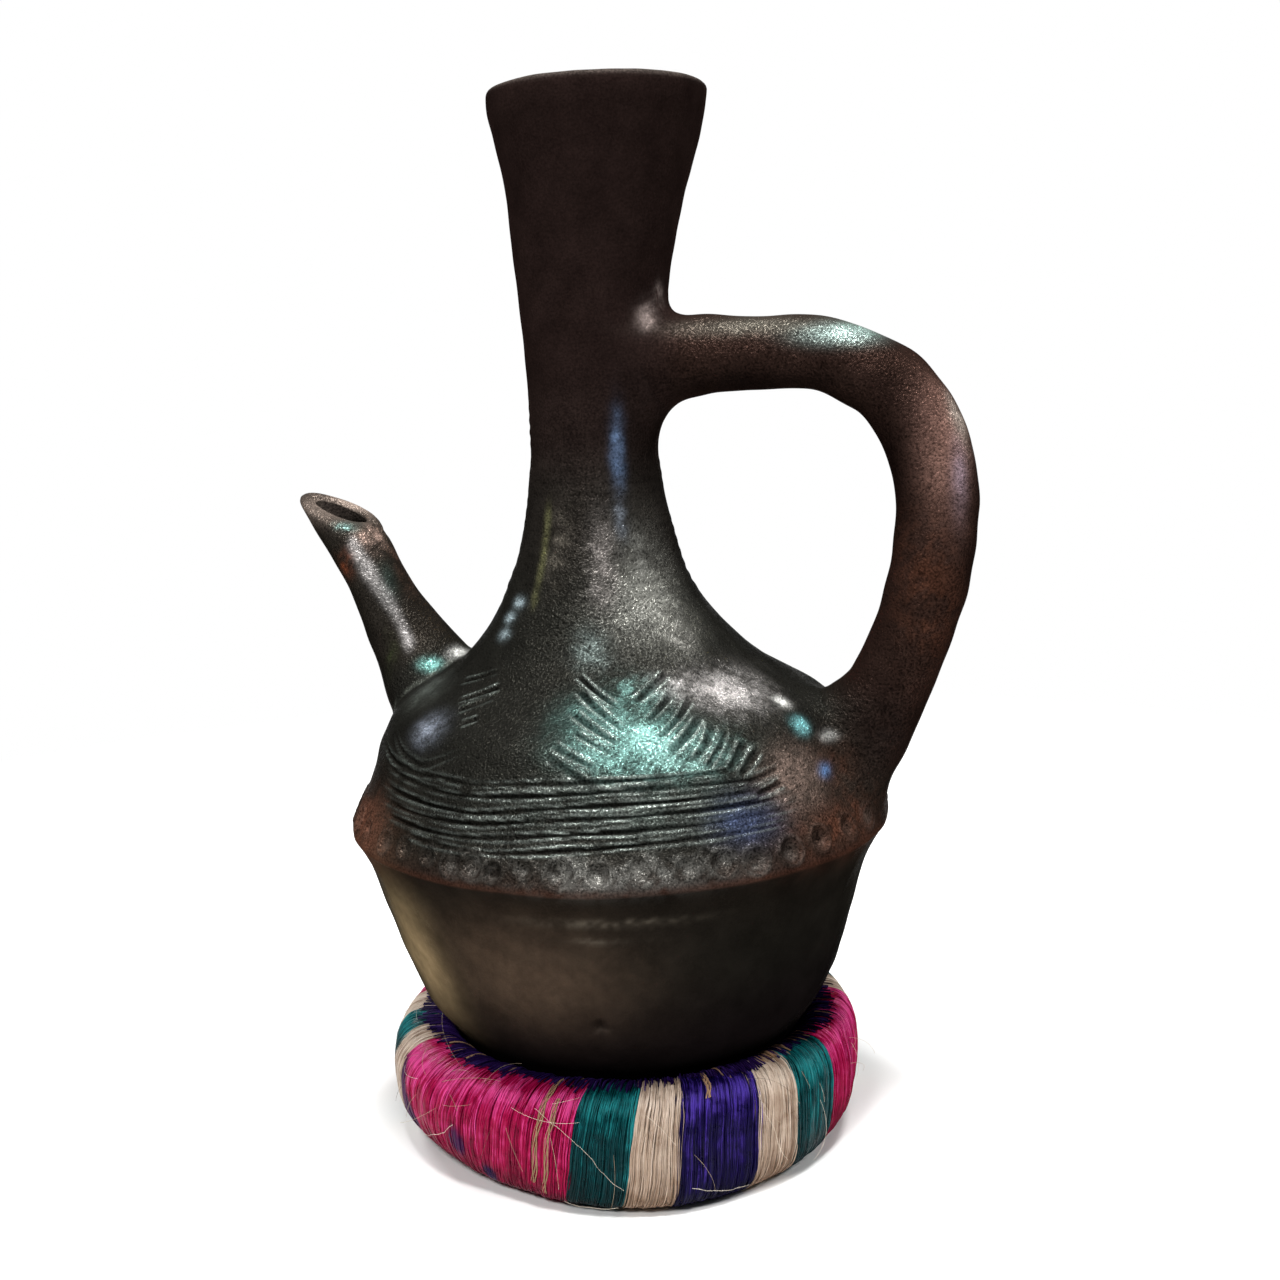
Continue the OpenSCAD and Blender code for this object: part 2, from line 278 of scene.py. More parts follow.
class NodeBench:
    """A node tree with short ways to add nodes and join them."""

    def __init__(self, tree: bpy.types.NodeTree) -> None:
        """Keep the tree that nodes go into."""
        self.tree = tree

    def add(self, kind: str, **settings: object) -> bpy.types.Node:
        """Add a node.

        Args:
            kind: Blender's name for the node.
            **settings: Properties of the node to set.

        Returns:
            The new node.
        """
        node = self.tree.nodes.new(kind)
        for name, value in settings.items():
            setattr(node, name, value)
        return node

    def feed(self, socket: Socket, source: object) -> None:
        """Link a socket into another, or set it to a plain value.

        Args:
            socket: Socket that takes the value.
            source: Socket that gives it, or the value itself.
        """
        if isinstance(source, Socket):
            self.tree.links.new(source, socket)
        else:
            socket.default_value = source

    def math(self, operation: str, a: object, b: object = 0.0, clamp: bool = False) -> Socket:
        """Add a sum of two numbers.

        Args:
            operation: Blender's name for the sum.
            a: First number or socket.
            b: Second number or socket.
            clamp: Whether the result stays within 0 to 1.

        Returns:
            The socket of the result.
        """
        node = self.add("ShaderNodeMath", operation=operation, use_clamp=clamp)
        self.feed(node.inputs[0], a)
        self.feed(node.inputs[1], b)
        return node.outputs[0]

    def noise(self, where: Socket, scale: float, detail: float, rough: float = 0.5) -> Socket:
        """Add a noise texture and give its grey value.

        Args:
            where: Socket of the coordinates.
            scale: Waves in a metre.
            detail: Number of finer layers.
            rough: Weight of the finer layers.

        Returns:
            The socket of the noise value.
        """
        node = self.add("ShaderNodeTexNoise")
        self.feed(node.inputs["Vector"], where)
        node.inputs["Scale"].default_value = scale
        node.inputs["Detail"].default_value = detail
        node.inputs["Roughness"].default_value = rough
        return node.outputs[0]

    def spread(self, value: Socket, low: float, high: float, to_low: float, to_high: float) -> Socket:
        """Map a range of values to another range.

        Args:
            value: Socket to map.
            low: Start of the range that comes in.
            high: End of the range that comes in.
            to_low: Value given at low.
            to_high: Value given at high.

        Returns:
            The socket of the mapped value.
        """
        node = self.add("ShaderNodeMapRange")
        self.feed(node.inputs["Value"], value)
        ends = {"From Min": low, "From Max": high, "To Min": to_low, "To Max": to_high}
        for name, number in ends.items():
            node.inputs[name].default_value = number
        return node.outputs["Result"]

    def mix(self, share: object, a: object, b: object) -> Socket:
        """Mix two colours.

        Args:
            share: How much of the second colour there is.
            a: First colour or socket.
            b: Second colour or socket.

        Returns:
            The socket of the mixed colour.
        """
        node = self.add("ShaderNodeMix", data_type="RGBA")
        self.feed(node.inputs[0], share)
        self.feed(node.inputs[6], a)
        self.feed(node.inputs[7], b)
        return node.outputs[2]

    def dim(self, colour: Socket, by: Socket) -> Socket:
        """Scale a colour by a number.

        Args:
            colour: Socket of the colour.
            by: Socket of the number.

        Returns:
            The socket of the scaled colour.
        """
        node = self.add("ShaderNodeVectorMath", operation="SCALE")
        self.feed(node.inputs[0], colour)
        self.feed(node.inputs["Scale"], by)
        return node.outputs[0]

    def layer(self, name: str, colour: bool = False) -> Socket:
        """Socket of values that are stored on the mesh."""
        node = self.add("ShaderNodeAttribute", attribute_name=name)
        return node.outputs["Color" if colour else "Fac"]


def bare_material(name: str) -> tuple[Material, NodeBench]:
    """Start a material without nodes.

    Args:
        name: Name of the material.

    Returns:
        The material and its bench.
    """
    material = bpy.data.materials.new(name)
    material.use_nodes = True
    material.node_tree.nodes.clear()
    return material, NodeBench(material.node_tree)


def fresh_material(name: str) -> tuple[Material, NodeBench, bpy.types.Node]:
    """Start a material from its shader alone.

    Args:
        name: Name of the material.

    Returns:
        The material, its bench and its main shader.
    """
    material, bench = bare_material(name)
    shader = bench.add("ShaderNodeBsdfPrincipled")
    bench.feed(bench.add("ShaderNodeOutputMaterial").inputs["Surface"], shader.outputs[0])
    return material, bench, shader


@dataclass(frozen=True)
class ClayFinish:
    """Smoked and burnished clay: grainy gloss over dark brown.

    Cloud and grain are waves in a metre, and the bump's depth is in metres.
    """

    name: str = "smoked_clay"
    specular: float = 0.0
    edge_gloss: Colour = (0.05, 0.05, 0.05)
    cloud: float = 110.0
    grain: float = 1700.0
    bump_force: float = 0.85
    bump_depth: float = 0.00042

    def material(self) -> Material:
        """Make the material, which reads tint, metal, rough and grit from the mesh.

        Returns:
            The material.
        """
        material, bench, shader = fresh_material(self.name)
        where = bench.add("ShaderNodeTexCoord").outputs["Object"]
        cloud = bench.noise(where, self.cloud, 4.0, 0.6)
        grain = bench.noise(where, self.grain, 2.0, 0.6)
        lumps = bench.noise(where, self.grain * 0.5, 2.0, 0.5)
        grit = bench.layer("grit")
        shader.inputs["Specular IOR Level"].default_value = self.specular
        shader.inputs["Specular Tint"].default_value = (*self.edge_gloss, 1)
        # Colour: cloudy all over, and speckled where the clay is gritty
        speckle = bench.math("MULTIPLY", grit, bench.spread(grain, *MOST, -0.8, 1.0))
        depth = bench.spread(cloud, *MOST, 0.75, 1.25)
        depth = bench.math("MULTIPLY", depth, bench.math("ADD", speckle, 1.0))
        bench.feed(shader.inputs["Base Color"], bench.dim(bench.layer("tint", True), depth))
        # Gloss: the burnished film breaks up along the grain
        film = bench.spread(grain, 0.36, 0.64, 0.1, 1.25)
        bench.feed(shader.inputs["Metallic"], bench.math("MULTIPLY", bench.layer("metal"), film, True))
        swing = bench.math("MULTIPLY", bench.spread(grain, *MOST, 0.2, -0.2), grit)
        swing = bench.math("ADD", swing, bench.spread(cloud, *MOST, 0.06, -0.06))
        bench.feed(shader.inputs["Roughness"], bench.math("ADD", bench.layer("rough"), swing, True))
        bump = bench.add("ShaderNodeBump")
        bench.feed(bump.inputs["Strength"], bench.math("MULTIPLY", grit, self.bump_force))
        bump.inputs["Distance"].default_value = self.bump_depth
        bench.feed(bump.inputs["Height"], bench.math("ADD", grain, lumps))
        bench.feed(shader.inputs["Normal"], bump.outputs[0])
        return material


@dataclass(frozen=True)
class FibreFinish:
    """Silky dyed fibre, one colour of the ring; pale and deep also give its painted sheen and shade. Patches
    are waves in a metre.
    """

    name: str
    deep: Colour
    main: Colour
    pale: Colour
    stain: Colour = (0.012, 0.005, 0.05)
    odd: Colour = (0.36, 0.22, 0.13)
    rough: float = 0.31
    specular: float = 0.08
    patches: float = 260.0

    def material(self) -> Material:
        """Make the material, which reads shade, stain and odd from the mesh.

        Returns:
            The material.
        """
        material, bench, shader = fresh_material(self.name)
        where = bench.add("ShaderNodeTexCoord").outputs["Object"]
        patch = bench.noise(where, self.patches, 3.0, 0.6)
        shade = bench.math("ADD", bench.layer("shade"), bench.spread(patch, *MOST, -0.2, 0.2), True)
        lower = bench.mix(bench.spread(shade, 0.0, 0.5, 0.0, 1.0), (*self.deep, 1), (*self.main, 1))
        colour = bench.mix(bench.spread(shade, 0.55, 1.0, 0.0, 1.0), lower, (*self.pale, 1))
        colour = bench.mix(bench.layer("stain"), colour, (*self.stain, 1))
        colour = bench.mix(bench.layer("odd"), colour, (*self.odd, 1))
        bench.feed(shader.inputs["Base Color"], colour)
        rough = bench.spread(patch, *MOST, self.rough - 0.08, self.rough + 0.12)
        bench.feed(shader.inputs["Roughness"], rough)
        shader.inputs["Specular IOR Level"].default_value = self.specular
        return material


@dataclass(frozen=True)
class BedFinish:
    """Coiled grass under the binding, stained by the dyes above it."""

    name: str = "stained_grass"
    grain: float = 700.0
    rough: float = 0.9
    specular: float = 0.15

    def material(self) -> Material:
        """Make the material, which reads tint from the mesh.

        Returns:
            The material.
        """
        material, bench, shader = fresh_material(self.name)
        where = bench.add("ShaderNodeTexCoord").outputs["Object"]
        worn = bench.spread(bench.noise(where, self.grain, 3.0), *MOST, 0.6, 1.3)
        bench.feed(shader.inputs["Base Color"], bench.dim(bench.layer("tint", True), worn))
        shader.inputs["Roughness"].default_value = self.rough
        shader.inputs["Specular IOR Level"].default_value = self.specular
        return material


@dataclass(frozen=True)
class FloorFinish:
    """Pale floor that keeps the shadow and goes over into the white round it."""

    name: str = "pale_floor"
    colour: Colour = (0.93, 0.93, 0.92)
    near: float = 0.16
    far: float = 0.55

    def material(self) -> Material:
        """Make the floor's material.

        Returns:
            The material.
        """
        material, bench = bare_material(self.name)
        plain = bench.add("ShaderNodeBsdfDiffuse")
        plain.inputs["Color"].default_value = (*self.colour, 1)
        white = bench.add("ShaderNodeEmission")
        path = bench.add("ShaderNodeLightPath")
        seen = bench.math("MAXIMUM", path.outputs["Is Camera Ray"], path.outputs["Is Glossy Ray"])
        seen = bench.math("MAXIMUM", seen, path.outputs["Is Transmission Ray"])
        bench.feed(white.inputs["Strength"], seen)
        where = bench.add("ShaderNodeTexCoord").outputs["Object"]
        away = bench.add("ShaderNodeVectorMath", operation="LENGTH")
        bench.feed(away.inputs[0], where)
        share = bench.spread(away.outputs["Value"], self.near, self.far, 0.0, 1.0)
        blend = bench.add("ShaderNodeMixShader")
        bench.feed(blend.inputs[0], share)
        bench.feed(blend.inputs[1], plain.outputs[0])
        bench.feed(blend.inputs[2], white.outputs[0])
        bench.feed(bench.add("ShaderNodeOutputMaterial").inputs["Surface"], blend.outputs[0])
        return material


def soft_min(a: Array, b: Array, k: Array) -> Array:
    """Smaller of two distances, rounded over a reach of k."""
    h = np.maximum(k - np.abs(a - b), 0.0) / k
    return np.minimum(a, b) - 0.25 * k * h * h


def flow_together(p: Array, n: Array, own: Distance, other: Distance, reach: Distance) -> Array:
    """How far points of one form move out, so that it flows into another form.

    Args:
        p: Points on the form.
        n: Outward directions at the points.
        own: Distance of points from the form itself.
        other: Distance of points from the other form.
        reach: Width of the rounded corner at points.

    Returns:
        The move along each direction. Past the seam it fades, which hides it in the other form.
    """
    rounds, pace = 30, 0.7
    move = np.zeros(len(p))
    far, wide = other(p), reach(p)
    near = far < wide
    q, m, k = p[near], n[near], wide[near]
    s = np.zeros(len(q))
    for _ in range(rounds):
        at = q + m * s[:, None]
        s = np.clip(s - pace * soft_min(own(at), other(at), k), 0.0, 2 * k)
    at = q + m * s[:, None]
    past = np.clip(0.5 * (own(at) - other(at) - 0.8), 0.0, 4.0)
    move[near] = (s - past) * ease(far[near], -6.0, -2.0)
    return move


@dataclass
class Limb:
    """A bent limb of clay in the plane of spout and handle.

    A station is x, z, the lean of its section in degrees, and half its size in the plane
    and across it. The corner gives the width of the rounded corner to the body at points.
    The clay is its colour, roughness, grit and metal, away from the body. Distances are
    worked out near the limb, a batch of points at a time, and are just far elsewhere.
    """

    stations: Sequence[tuple[float, float, float, float, float]]
    corner: Distance
    clay: Sequence[float]
    step: float = 0.8
    sides: int = 88
    near: float = 34.0
    far: float = 99.0
    batch: int = 8000

    def __post_init__(self) -> None:
        """Lay even stations along the limb."""
        table = np.asarray(self.stations, float)
        run = np.concatenate([[0.0], np.cumsum(np.hypot(*np.diff(table[:, :2], axis=0).T))])
        line = SmoothLine(np.column_stack([run, table]), Flow.LOOSE)
        dense = line(np.linspace(0.0, run[-1], 3000))
        self.line = resample(dense, self.step)
        lean = np.radians(self.line[:, 2])
        self.middle = np.column_stack([self.line[:, 0], np.zeros(len(lean)), self.line[:, 1]])
        self.side = np.column_stack([np.cos(lean), np.zeros(len(lean)), np.sin(lean)])
        way = np.gradient(self.middle, axis=0)
        self.way = way / np.linalg.norm(way, axis=1)[:, None]

    def ring(self, shrink: Sequence[float] = (0.0, 0.0)) -> Array:
        """Rows of points round the limb.

        Args:
            shrink: Walls that the section is drawn in by, in the plane and across it.

        Returns:
            The rows, one for each station.
        """
        a = np.linspace(0.0, 2 * math.pi, self.sides, endpoint=False)
        half = self.line[:, 3:5] - np.asarray(shrink)
        return (
            self.middle[:, None]
            + self.side[:, None] * (half[:, :1] * np.cos(a))[..., None]
            + np.array([0.0, 1.0, 0.0]) * (half[:, 1:] * np.sin(a))[..., None]
        )

    def gap(self, p: Array) -> Array:
        """Distance of points from the limb's skin.

        Args:
            p: Points to measure.

        Returns:
            The distances, negative inside, and just large for points far away.
        """
        out = np.full(len(p), self.far)
        low, high = self.middle.min(0) - self.near, self.middle.max(0) + self.near
        close = np.flatnonzero(((p > low) & (p < high)).all(1))
        for part in np.array_split(close, max(len(close) // self.batch, 1)):
            q = p[part]
            near = np.argmin(((q[:, None, ::2] - self.middle[None, :, ::2]) ** 2).sum(-1), axis=1)
            rel = q - self.middle[near]
            u, v = (rel * self.side[near]).sum(1), rel[:, 1]
            reach = np.hypot(u, v)
            share = np.hypot(u / self.line[near, 3], v / self.line[near, 4])
            off = reach * (1.0 - 1.0 / np.maximum(share, 0.05))
            skin = np.where(share > 0.05, off, -self.line[near, 3])
            at_end = (near == 0) | (near == len(self.line) - 1)
            past = np.abs((rel * self.way[near]).sum(1)) * at_end
            out[part] = np.where(past > 1.0, np.hypot(np.maximum(skin, 0.0), past), skin)
        return out


def handle_corner(p: Array) -> Array:
    """Width of the handle's rounded corners.

    Args:
        p: Points near the handle.

    Returns:
        The width at each point, from the neck's corner above and the shoulder's below.
    """
    neck = 12.8 - 4.3 * np.clip((p[:, 2] - 208) / 9, -1, 1)
    shoulder = 11.0 + 5.0 * np.clip((p[:, 2] - 112) / 10, -0.4, 1)
    return np.where(p[:, 2] > 160, neck, shoulder)


def spout_corner(p: Array) -> Array:
    """Width of the spout's rounded corner at points."""
    return np.full(len(p), 4.0)


def clay_handle() -> Limb:
    """The loop from the neck to the shoulder.

    Returns:
        The limb, from its root in the neck.
    """
    stations = (
        (12.5, 208.0, 90, 9.6, 8.9), (20.8, 208.3, 90, 9.7, 9.0), (30.3, 208.6, 90, 9.7, 8.9),
        (43.5, 208.2, 89, 8.4, 8.3), (60.3, 207.3, 82, 8.5, 8.5), (76.6, 201.1, 48, 10.6, 9.5),
        (83.7, 193.1, 30, 10.5, 9.4), (88.7, 182.2, 14, 10.6, 9.3), (90.9, 168.9, -2, 10.4, 9.3),
        (88.8, 153.0, -14, 9.95, 9.2), (83.0, 137.4, -24, 9.0, 8.8), (73.4, 118.4, -30, 10.1, 9.5),
        (66.9, 106.8, -32, 11.4, 10.6), (61.5, 98.2, -34, 12.0, 11.0),
    )
    return Limb(stations, handle_corner, (0.019, 0.0105, 0.0082, 0.32, 0.75, 0.55))


def clay_spout() -> Limb:
    """The bent spout from the shoulder up to its slanted mouth.

    Returns:
        The limb, from its root in the shoulder.
    """
    stations = (
        (-50.2, 113.1, 28, 15.2, 14.6), (-54.3, 120.3, 28, 14.6, 14.0), (-58.3, 128.0, 29, 12.2, 11.8),
        (-61.9, 135.5, 29, 10.3, 10.2), (-64.4, 141.3, 28, 9.1, 9.2), (-67.0, 147.7, 28, 8.6, 8.6),
        (-69.7, 153.6, 27, 8.3, 8.2), (-72.0, 157.2, 17.8, 8.5, 8.1), (-74.4, 160.4, 3, 9.3, 8.0),
        (-76.7, 163.6, -12, 11.2, 7.9), (-78.1, 166.5, -22, 13.2, 7.7),
    )
    return Limb(stations, spout_corner, (0.017, 0.0145, 0.0118, 0.3, 0.75, 0.58), 0.7, 80)


def bowl_swell(share: Array) -> Array:
    """How far the bowl has widened, 0 to 1, at shares of its height."""
    return (1 - (1 - share) ** 1.4) ** (1 / 1.5)


def hand_over(piece: Piece, body: str, node: Optional[str] = None) -> None:
    """Tell the frame what a finished piece is, and report it.

    Args:
        piece: The finished piece.
        body: Body that it rides on.
        node: Solid that it replaces, or none.
    """
    if node is not None:
        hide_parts(node)
    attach(piece, body)
    LOG.info("piece %s: %d faces", piece.name, len(piece.data.polygons))


@dataclass(frozen=True)
class Stroke:
    """A line that is cut into the clay, through places given as turn and height."""

    places: Sequence[tuple[float, float]]
    width: float
    depth: float
    taper: float = 0.1


@dataclass(frozen=True)
class LightAndStainPatch:
    """A patch on the clay: a painted highlight, reflection or shade, or a real patch of rust or brown.

    Its size is how far it reaches across and up, its force how much of it shows, and
    broken how much the clay's clouds break it up.
    """

    place: tuple[float, float, float]
    size: tuple[float, float]
    colour: Colour
    metal: float = 0.0
    rough: float = 0.45
    force: float = 1.0
    broken: float = 1.0


@dataclass
class ClayPot:
    """The pot: bowl, seam band, shoulder, neck, mouth, spout and handle.

    The lift is the height of the bowl's flat over the table, and the clay is its material.
    Points of the lean are height and shift, and those of the upper outline are height and
    radius. A leaf stroke runs from one turn and height to another, and its cut is width,
    depth and taper. A row of clay tones is height, colour, roughness, grit and metal.
    """

    lift: float
    clay: Material
    wall: float = 5.5
    flat: float = 24.0
    floor_wall: float = 6.5
    bowl_height: float = 68.5
    bowl_widening: float = 44.4
    hollow: tuple[float, float] = (21.25, 41.0)
    band_bore: float = 64.0
    shoulder_bore: float = 61.5
    throat: float = 11.6
    seam_low: float = 74.3
    seam_high: float = 96.2
    cut_high: float = 134.0
    neck_low: float = 174.05
    neck_high: float = 228.05
    rim: float = 28.9
    rim_wall: float = 4.2
    top: float = 277.0
    columns: int = 576
    fine_columns: int = 820
    lean_points: Sequence[tuple[float, float]] = (
        (22, 0.0), (45, -0.6), (60, 0.0), (72, 0.7), (100, 0.6), (128, 2.3), (150, 3.8), (190, 3.7),
        (225, 2.5), (240, 1.8), (257, 0.7), (277, 0.0),
    )
    upper_points: Sequence[tuple[float, float]] = (
        (40, 56.9), (50, 60.8), (57, 63.2), (62.5, 65.0), (68.4, 66.6), (74, 68.1), (78, 69.4),
        (82, 71.3), (84.4, 72.7), (85.5, 73.4), (86.4, 73.4), (87.6, 73.0), (90, 72.0), (93, 70.7),
        (96.5, 68.9), (101.6, 66.6), (107, 64.6), (112, 62.0), (115.3, 60.0), (117.6, 57.8),
        (119.7, 54.8), (122, 50.9), (127, 42.2), (130, 38.4), (135, 33.7), (140, 29.7), (146, 26.1),
        (157, 21.8), (168, 19.1), (178.6, 17.5), (184, 16.9), (189, 16.8), (197, 17.0), (205, 17.5),
        (215, 18.5), (225, 19.7), (235.6, 21.2), (245.6, 22.9), (255.5, 24.9), (265, 27.2),
        (271.5, 28.65), (274.9, 28.9), (280, 28.9),
    )
    lines: Sequence[Stroke] = (
        Stroke(((-46, 108.7), (-34, 108.0), (-20, 109.2), (5, 110.3), (29, 110.0)), 0.46, 0.65),
        Stroke(((-70, 106.8), (-40, 105.2), (-20, 106.6), (0, 108.0), (15, 108.0), (36, 107.3)), 0.48, 0.8),
        Stroke(((-70, 102.4), (-35, 101.6), (-15, 104.0), (5, 105.1), (40, 104.6)), 0.48, 0.85),
        Stroke(((-66, 98.9), (-35, 99.2), (-15, 101.4), (8, 102.4), (43, 102.0)), 0.48, 0.85),
        Stroke(((-60, 96.3), (-35, 96.1), (-12, 98.4), (10, 99.4), (44, 99.4)), 0.48, 0.8),
        Stroke(((-52, 94.0), (-30, 93.4), (-9, 95.3), (12, 96.5), (39, 96.4)), 0.48, 0.75),
        Stroke((
            (-73, 114.6), (-64, 111.7), (-56, 110.2), (-50, 110.0), (-44, 112.3), (-38, 115.0),
        ), 0.6, 0.5, 0.25),
        Stroke(((-78, 110.4), (-67, 108.6), (-57, 107.9), (-48, 108.0), (-41, 108.6)), 0.6, 0.65, 0.2),
    )
    leaf_strokes: Sequence[tuple[float, float, float, float]] = (
        (-11.5, 131, 2, 124.5), (-10.5, 128, 3, 120.5), (-11.5, 124, 1.5, 118), (-10, 120.5, 0, 116),
        (-15, 118, -4.5, 113), (-15.5, 115.5, -6, 109.5), (22.5, 130, 7.5, 125),
        (21.5, 126.5, 9.5, 121.5), (25, 124.5, 10, 118), (24.5, 121.5, 12.5, 115.5),
        (26.5, 120, 17.5, 113), (28.5, 118.5, 20, 111), (31.5, 115.5, 25.5, 110),
        (34.5, 113.5, 27.5, 108.5), (38.5, 108.5, 28.5, 107), (38, 105.5, 30, 103.5),
        (-64.5, 126.5, -47, 130.5), (-54.5, 123.5, -41.5, 127.5), (-50.5, 122, -40.5, 125.5),
        (-44.5, 120, -40, 121.5),
    )
    leaf_cut: tuple[float, float, float] = (0.68, 0.85, 0.14)
    thumb_turns: Sequence[float] = (
        -65.8, -55.8, -48.1, -40.7, -33.9, -29.5, -25.0, -18.6, -11.6, -4.3, 3.5, 12.3, 19.6, 26.5,
        34.7, 42.7, 52.4,
    )
    clay_tones: Sequence[Sequence[float]] = (
        (6, 0.0035, 0.0028, 0.003, 0.36, 0.05, 0.1), (40, 0.0044, 0.0033, 0.0034, 0.32, 0.05, 0.12),
        (70, 0.008, 0.007, 0.0056, 0.3, 0.06, 0.16), (84.4, 0.0085, 0.0068, 0.0053, 0.3, 0.1, 0.2),
        (85.6, 0.034, 0.0155, 0.0105, 0.38, 0.5, 0.15), (87.4, 0.018, 0.012, 0.0095, 0.34, 0.8, 0.3),
        (97, 0.013, 0.0126, 0.0106, 0.3, 1.0, 0.6), (140, 0.013, 0.0126, 0.0106, 0.3, 1.0, 0.6),
        (170, 0.0155, 0.0132, 0.0112, 0.36, 0.8, 0.5), (190, 0.0155, 0.0102, 0.0088, 0.44, 0.55, 0.3),
        (215, 0.0155, 0.0092, 0.008, 0.55, 0.35, 0.2), (274.5, 0.0155, 0.0092, 0.008, 0.55, 0.3, 0.15),
        # The last row lightens the lip's top, a painted highlight
        (276.4, 0.05, 0.042, 0.037, 0.45, 0.9, 0.1),
    )
    thumb_shine: Colour = (0.17, 0.165, 0.15)
    crease_shine: Colour = (0.13, 0.14, 0.12)
    edge_shine: Colour = (0.30, 0.34, 0.31)
    back_turn: float = 16.0
    cut_range: tuple[float, float] = (88.0, 152.0)
    cut_reach: float = 4.0
    thumb_range: tuple[float, float] = (84.0, 97.0)
    thumb_height: float = 90.4
    thumb_size: float = 3.2
    thumb_depth: float = 1.7
    pit: tuple[float, float] = (-7.6, 47.6)
    handle: Limb = field(default_factory=clay_handle)
    spout: Limb = field(default_factory=clay_spout)
    spout_wall: tuple[float, float] = (3.9, 4.1)
    mouth_wall: float = 0.9
    mouth_tilt: float = 0.24
    mouth_shift: tuple[float, float] = (-0.7, 1.8)

    def __post_init__(self) -> None:
        """Set up the outline, the lean, the tones and the cut lines."""
        share = np.array([0.0, 0.002, 0.008, 0.02, 0.045, 0.08, 0.13, 0.2, 0.28, 0.36])
        rise = self.lift + self.bowl_height * share
        bowl = np.column_stack([rise, self.flat + self.bowl_widening * bowl_swell(share)])
        self.outline = SmoothLine(np.vstack([bowl, self.upper_points]))
        self.leaning = SmoothLine(self.lean_points)
        self.toning = SmoothLine(self.clay_tones)
        leaf = [Stroke(((a, b), (c, d)), *self.leaf_cut) for a, b, c, d in self.leaf_strokes]
        self.cuts = [*self.lines, *leaf]

    def radius(self, z: Array) -> Array:
        """Outer radius of the body at heights over the table."""
        return self.outline(z)

    def slope(self, z: Array) -> Array:
        """How fast the outer radius grows with height."""
        return (self.radius(z + 0.4) - self.radius(z - 0.4)) / 0.8

    def gap(self, p: Array) -> Array:
        """Distance of points from the body's outer skin, inside negative."""
        z = np.clip(p[:, 2], self.lift + 2, self.top)
        return (np.hypot(p[:, 0], p[:, 1]) - self.radius(z)) / np.sqrt(1 + self.slope(z) ** 2)

    def outward(self, p: Array) -> Array:
        """Outward directions of the body.

        Args:
            p: Points near its skin.

        Returns:
            A direction of length 1 for each point.
        """
        r = np.maximum(np.hypot(p[:, 0], p[:, 1]), 1e-6)
        s = self.slope(np.clip(p[:, 2], self.lift + 2, self.top))
        n = np.column_stack([p[:, 0] / r, p[:, 1] / r, -s])
        return n / np.linalg.norm(n, axis=1)[:, None]

    def place(self, turn: Array, height: Array) -> Array:
        """Points on the body's skin.

        Args:
            turn: Turns round the axis.
            height: Heights over the table.

        Returns:
            The points.
        """
        a, z = facing(turn), np.asarray(height, float)
        r = self.radius(z)
        return np.stack([r * np.cos(a), r * np.sin(a), z], axis=-1)

    def lean(self, p: Array) -> Array:
        """Points moved over to the side that the hand-made pot leans to."""
        by = self.leaning(p[..., 2])[..., None]
        return p - by * np.array([math.cos(RIGHT), math.sin(RIGHT), 0.0])

    def track(self, cut: Stroke) -> Array:
        """Points along a cut line.

        Args:
            cut: The line.

        Returns:
            Points on the body's skin, close together.
        """
        steps = resample(np.asarray(cut.places, float), 1.2)
        if len(cut.places) > 2:
            share = np.linspace(0, 1, len(cut.places))
            curve = SmoothLine(np.column_stack([share, cut.places]), Flow.LOOSE)
            steps = curve(np.linspace(0, 1, len(steps) + 1))
        return self.place(steps[:, 0], steps[:, 1])

    def incise(self, cut: Stroke, line: Array, q: Array) -> Array:
        """Depth of one cut line, with the clay that it pushes up beside it.

        Args:
            cut: The line.
            line: Points along it.
            q: Points near it.

        Returns:
            The height at each point near it, below zero in the line.
        """
        way = line[1:] - line[:-1]
        rel = q[:, None] - line[None, :-1]
        t = np.clip((rel * way).sum(-1) / (way * way).sum(-1), 0, 1)
        far = np.linalg.norm(rel - t[..., None] * way, axis=-1)
        best = np.argmin(far, axis=1)
        every = np.arange(len(q))
        d = far[every, best]
        along = (best + t[every, best]) / len(way)
        run = along * np.linalg.norm(way, axis=1).sum()
        start = cut.places[0][1]
        press = ease(along, 0, cut.taper) * ease(1 - along, 0, cut.taper)
        press *= 1 + 0.3 * np.sin(run * 0.09 + len(line)) + 0.15 * np.sin(run * 0.31 + start)
        w = cut.width * (1 + 0.2 * np.sin(run * 0.17 + start * 3))
        shape = -np.exp(-((d / w) ** 2)) + 0.34 * np.exp(-(((d - 1.75 * w) / (0.6 * w)) ** 2))
        return 0.8 * cut.depth * press * shape

    def carve(self, p: Array) -> Array:
        """Depth of all cut lines, those in front and their mirrored set at the back.

        Args:
            p: Points on the body.

        Returns:
            The height at each point, below zero in a line and above it on its edges.
        """
        out = np.zeros(len(p))
        c, k = math.cos(math.radians(self.back_turn)), math.sin(math.radians(self.back_turn))
        mirrored = np.column_stack([c * p[:, 0] + k * p[:, 1], k * p[:, 0] - c * p[:, 1], p[:, 2]])
        band = (p[:, 2] > self.cut_range[0]) & (p[:, 2] < self.cut_range[1])
        for q in (p, mirrored):
            for cut in self.cuts:
                line = self.track(cut)
                low, high = line.min(0) - self.cut_reach, line.max(0) + self.cut_reach
                near = np.flatnonzero(band & ((q > low) & (q < high)).all(1))
                if len(near):
                    out[near] += self.incise(cut, line, q[near])
        return out

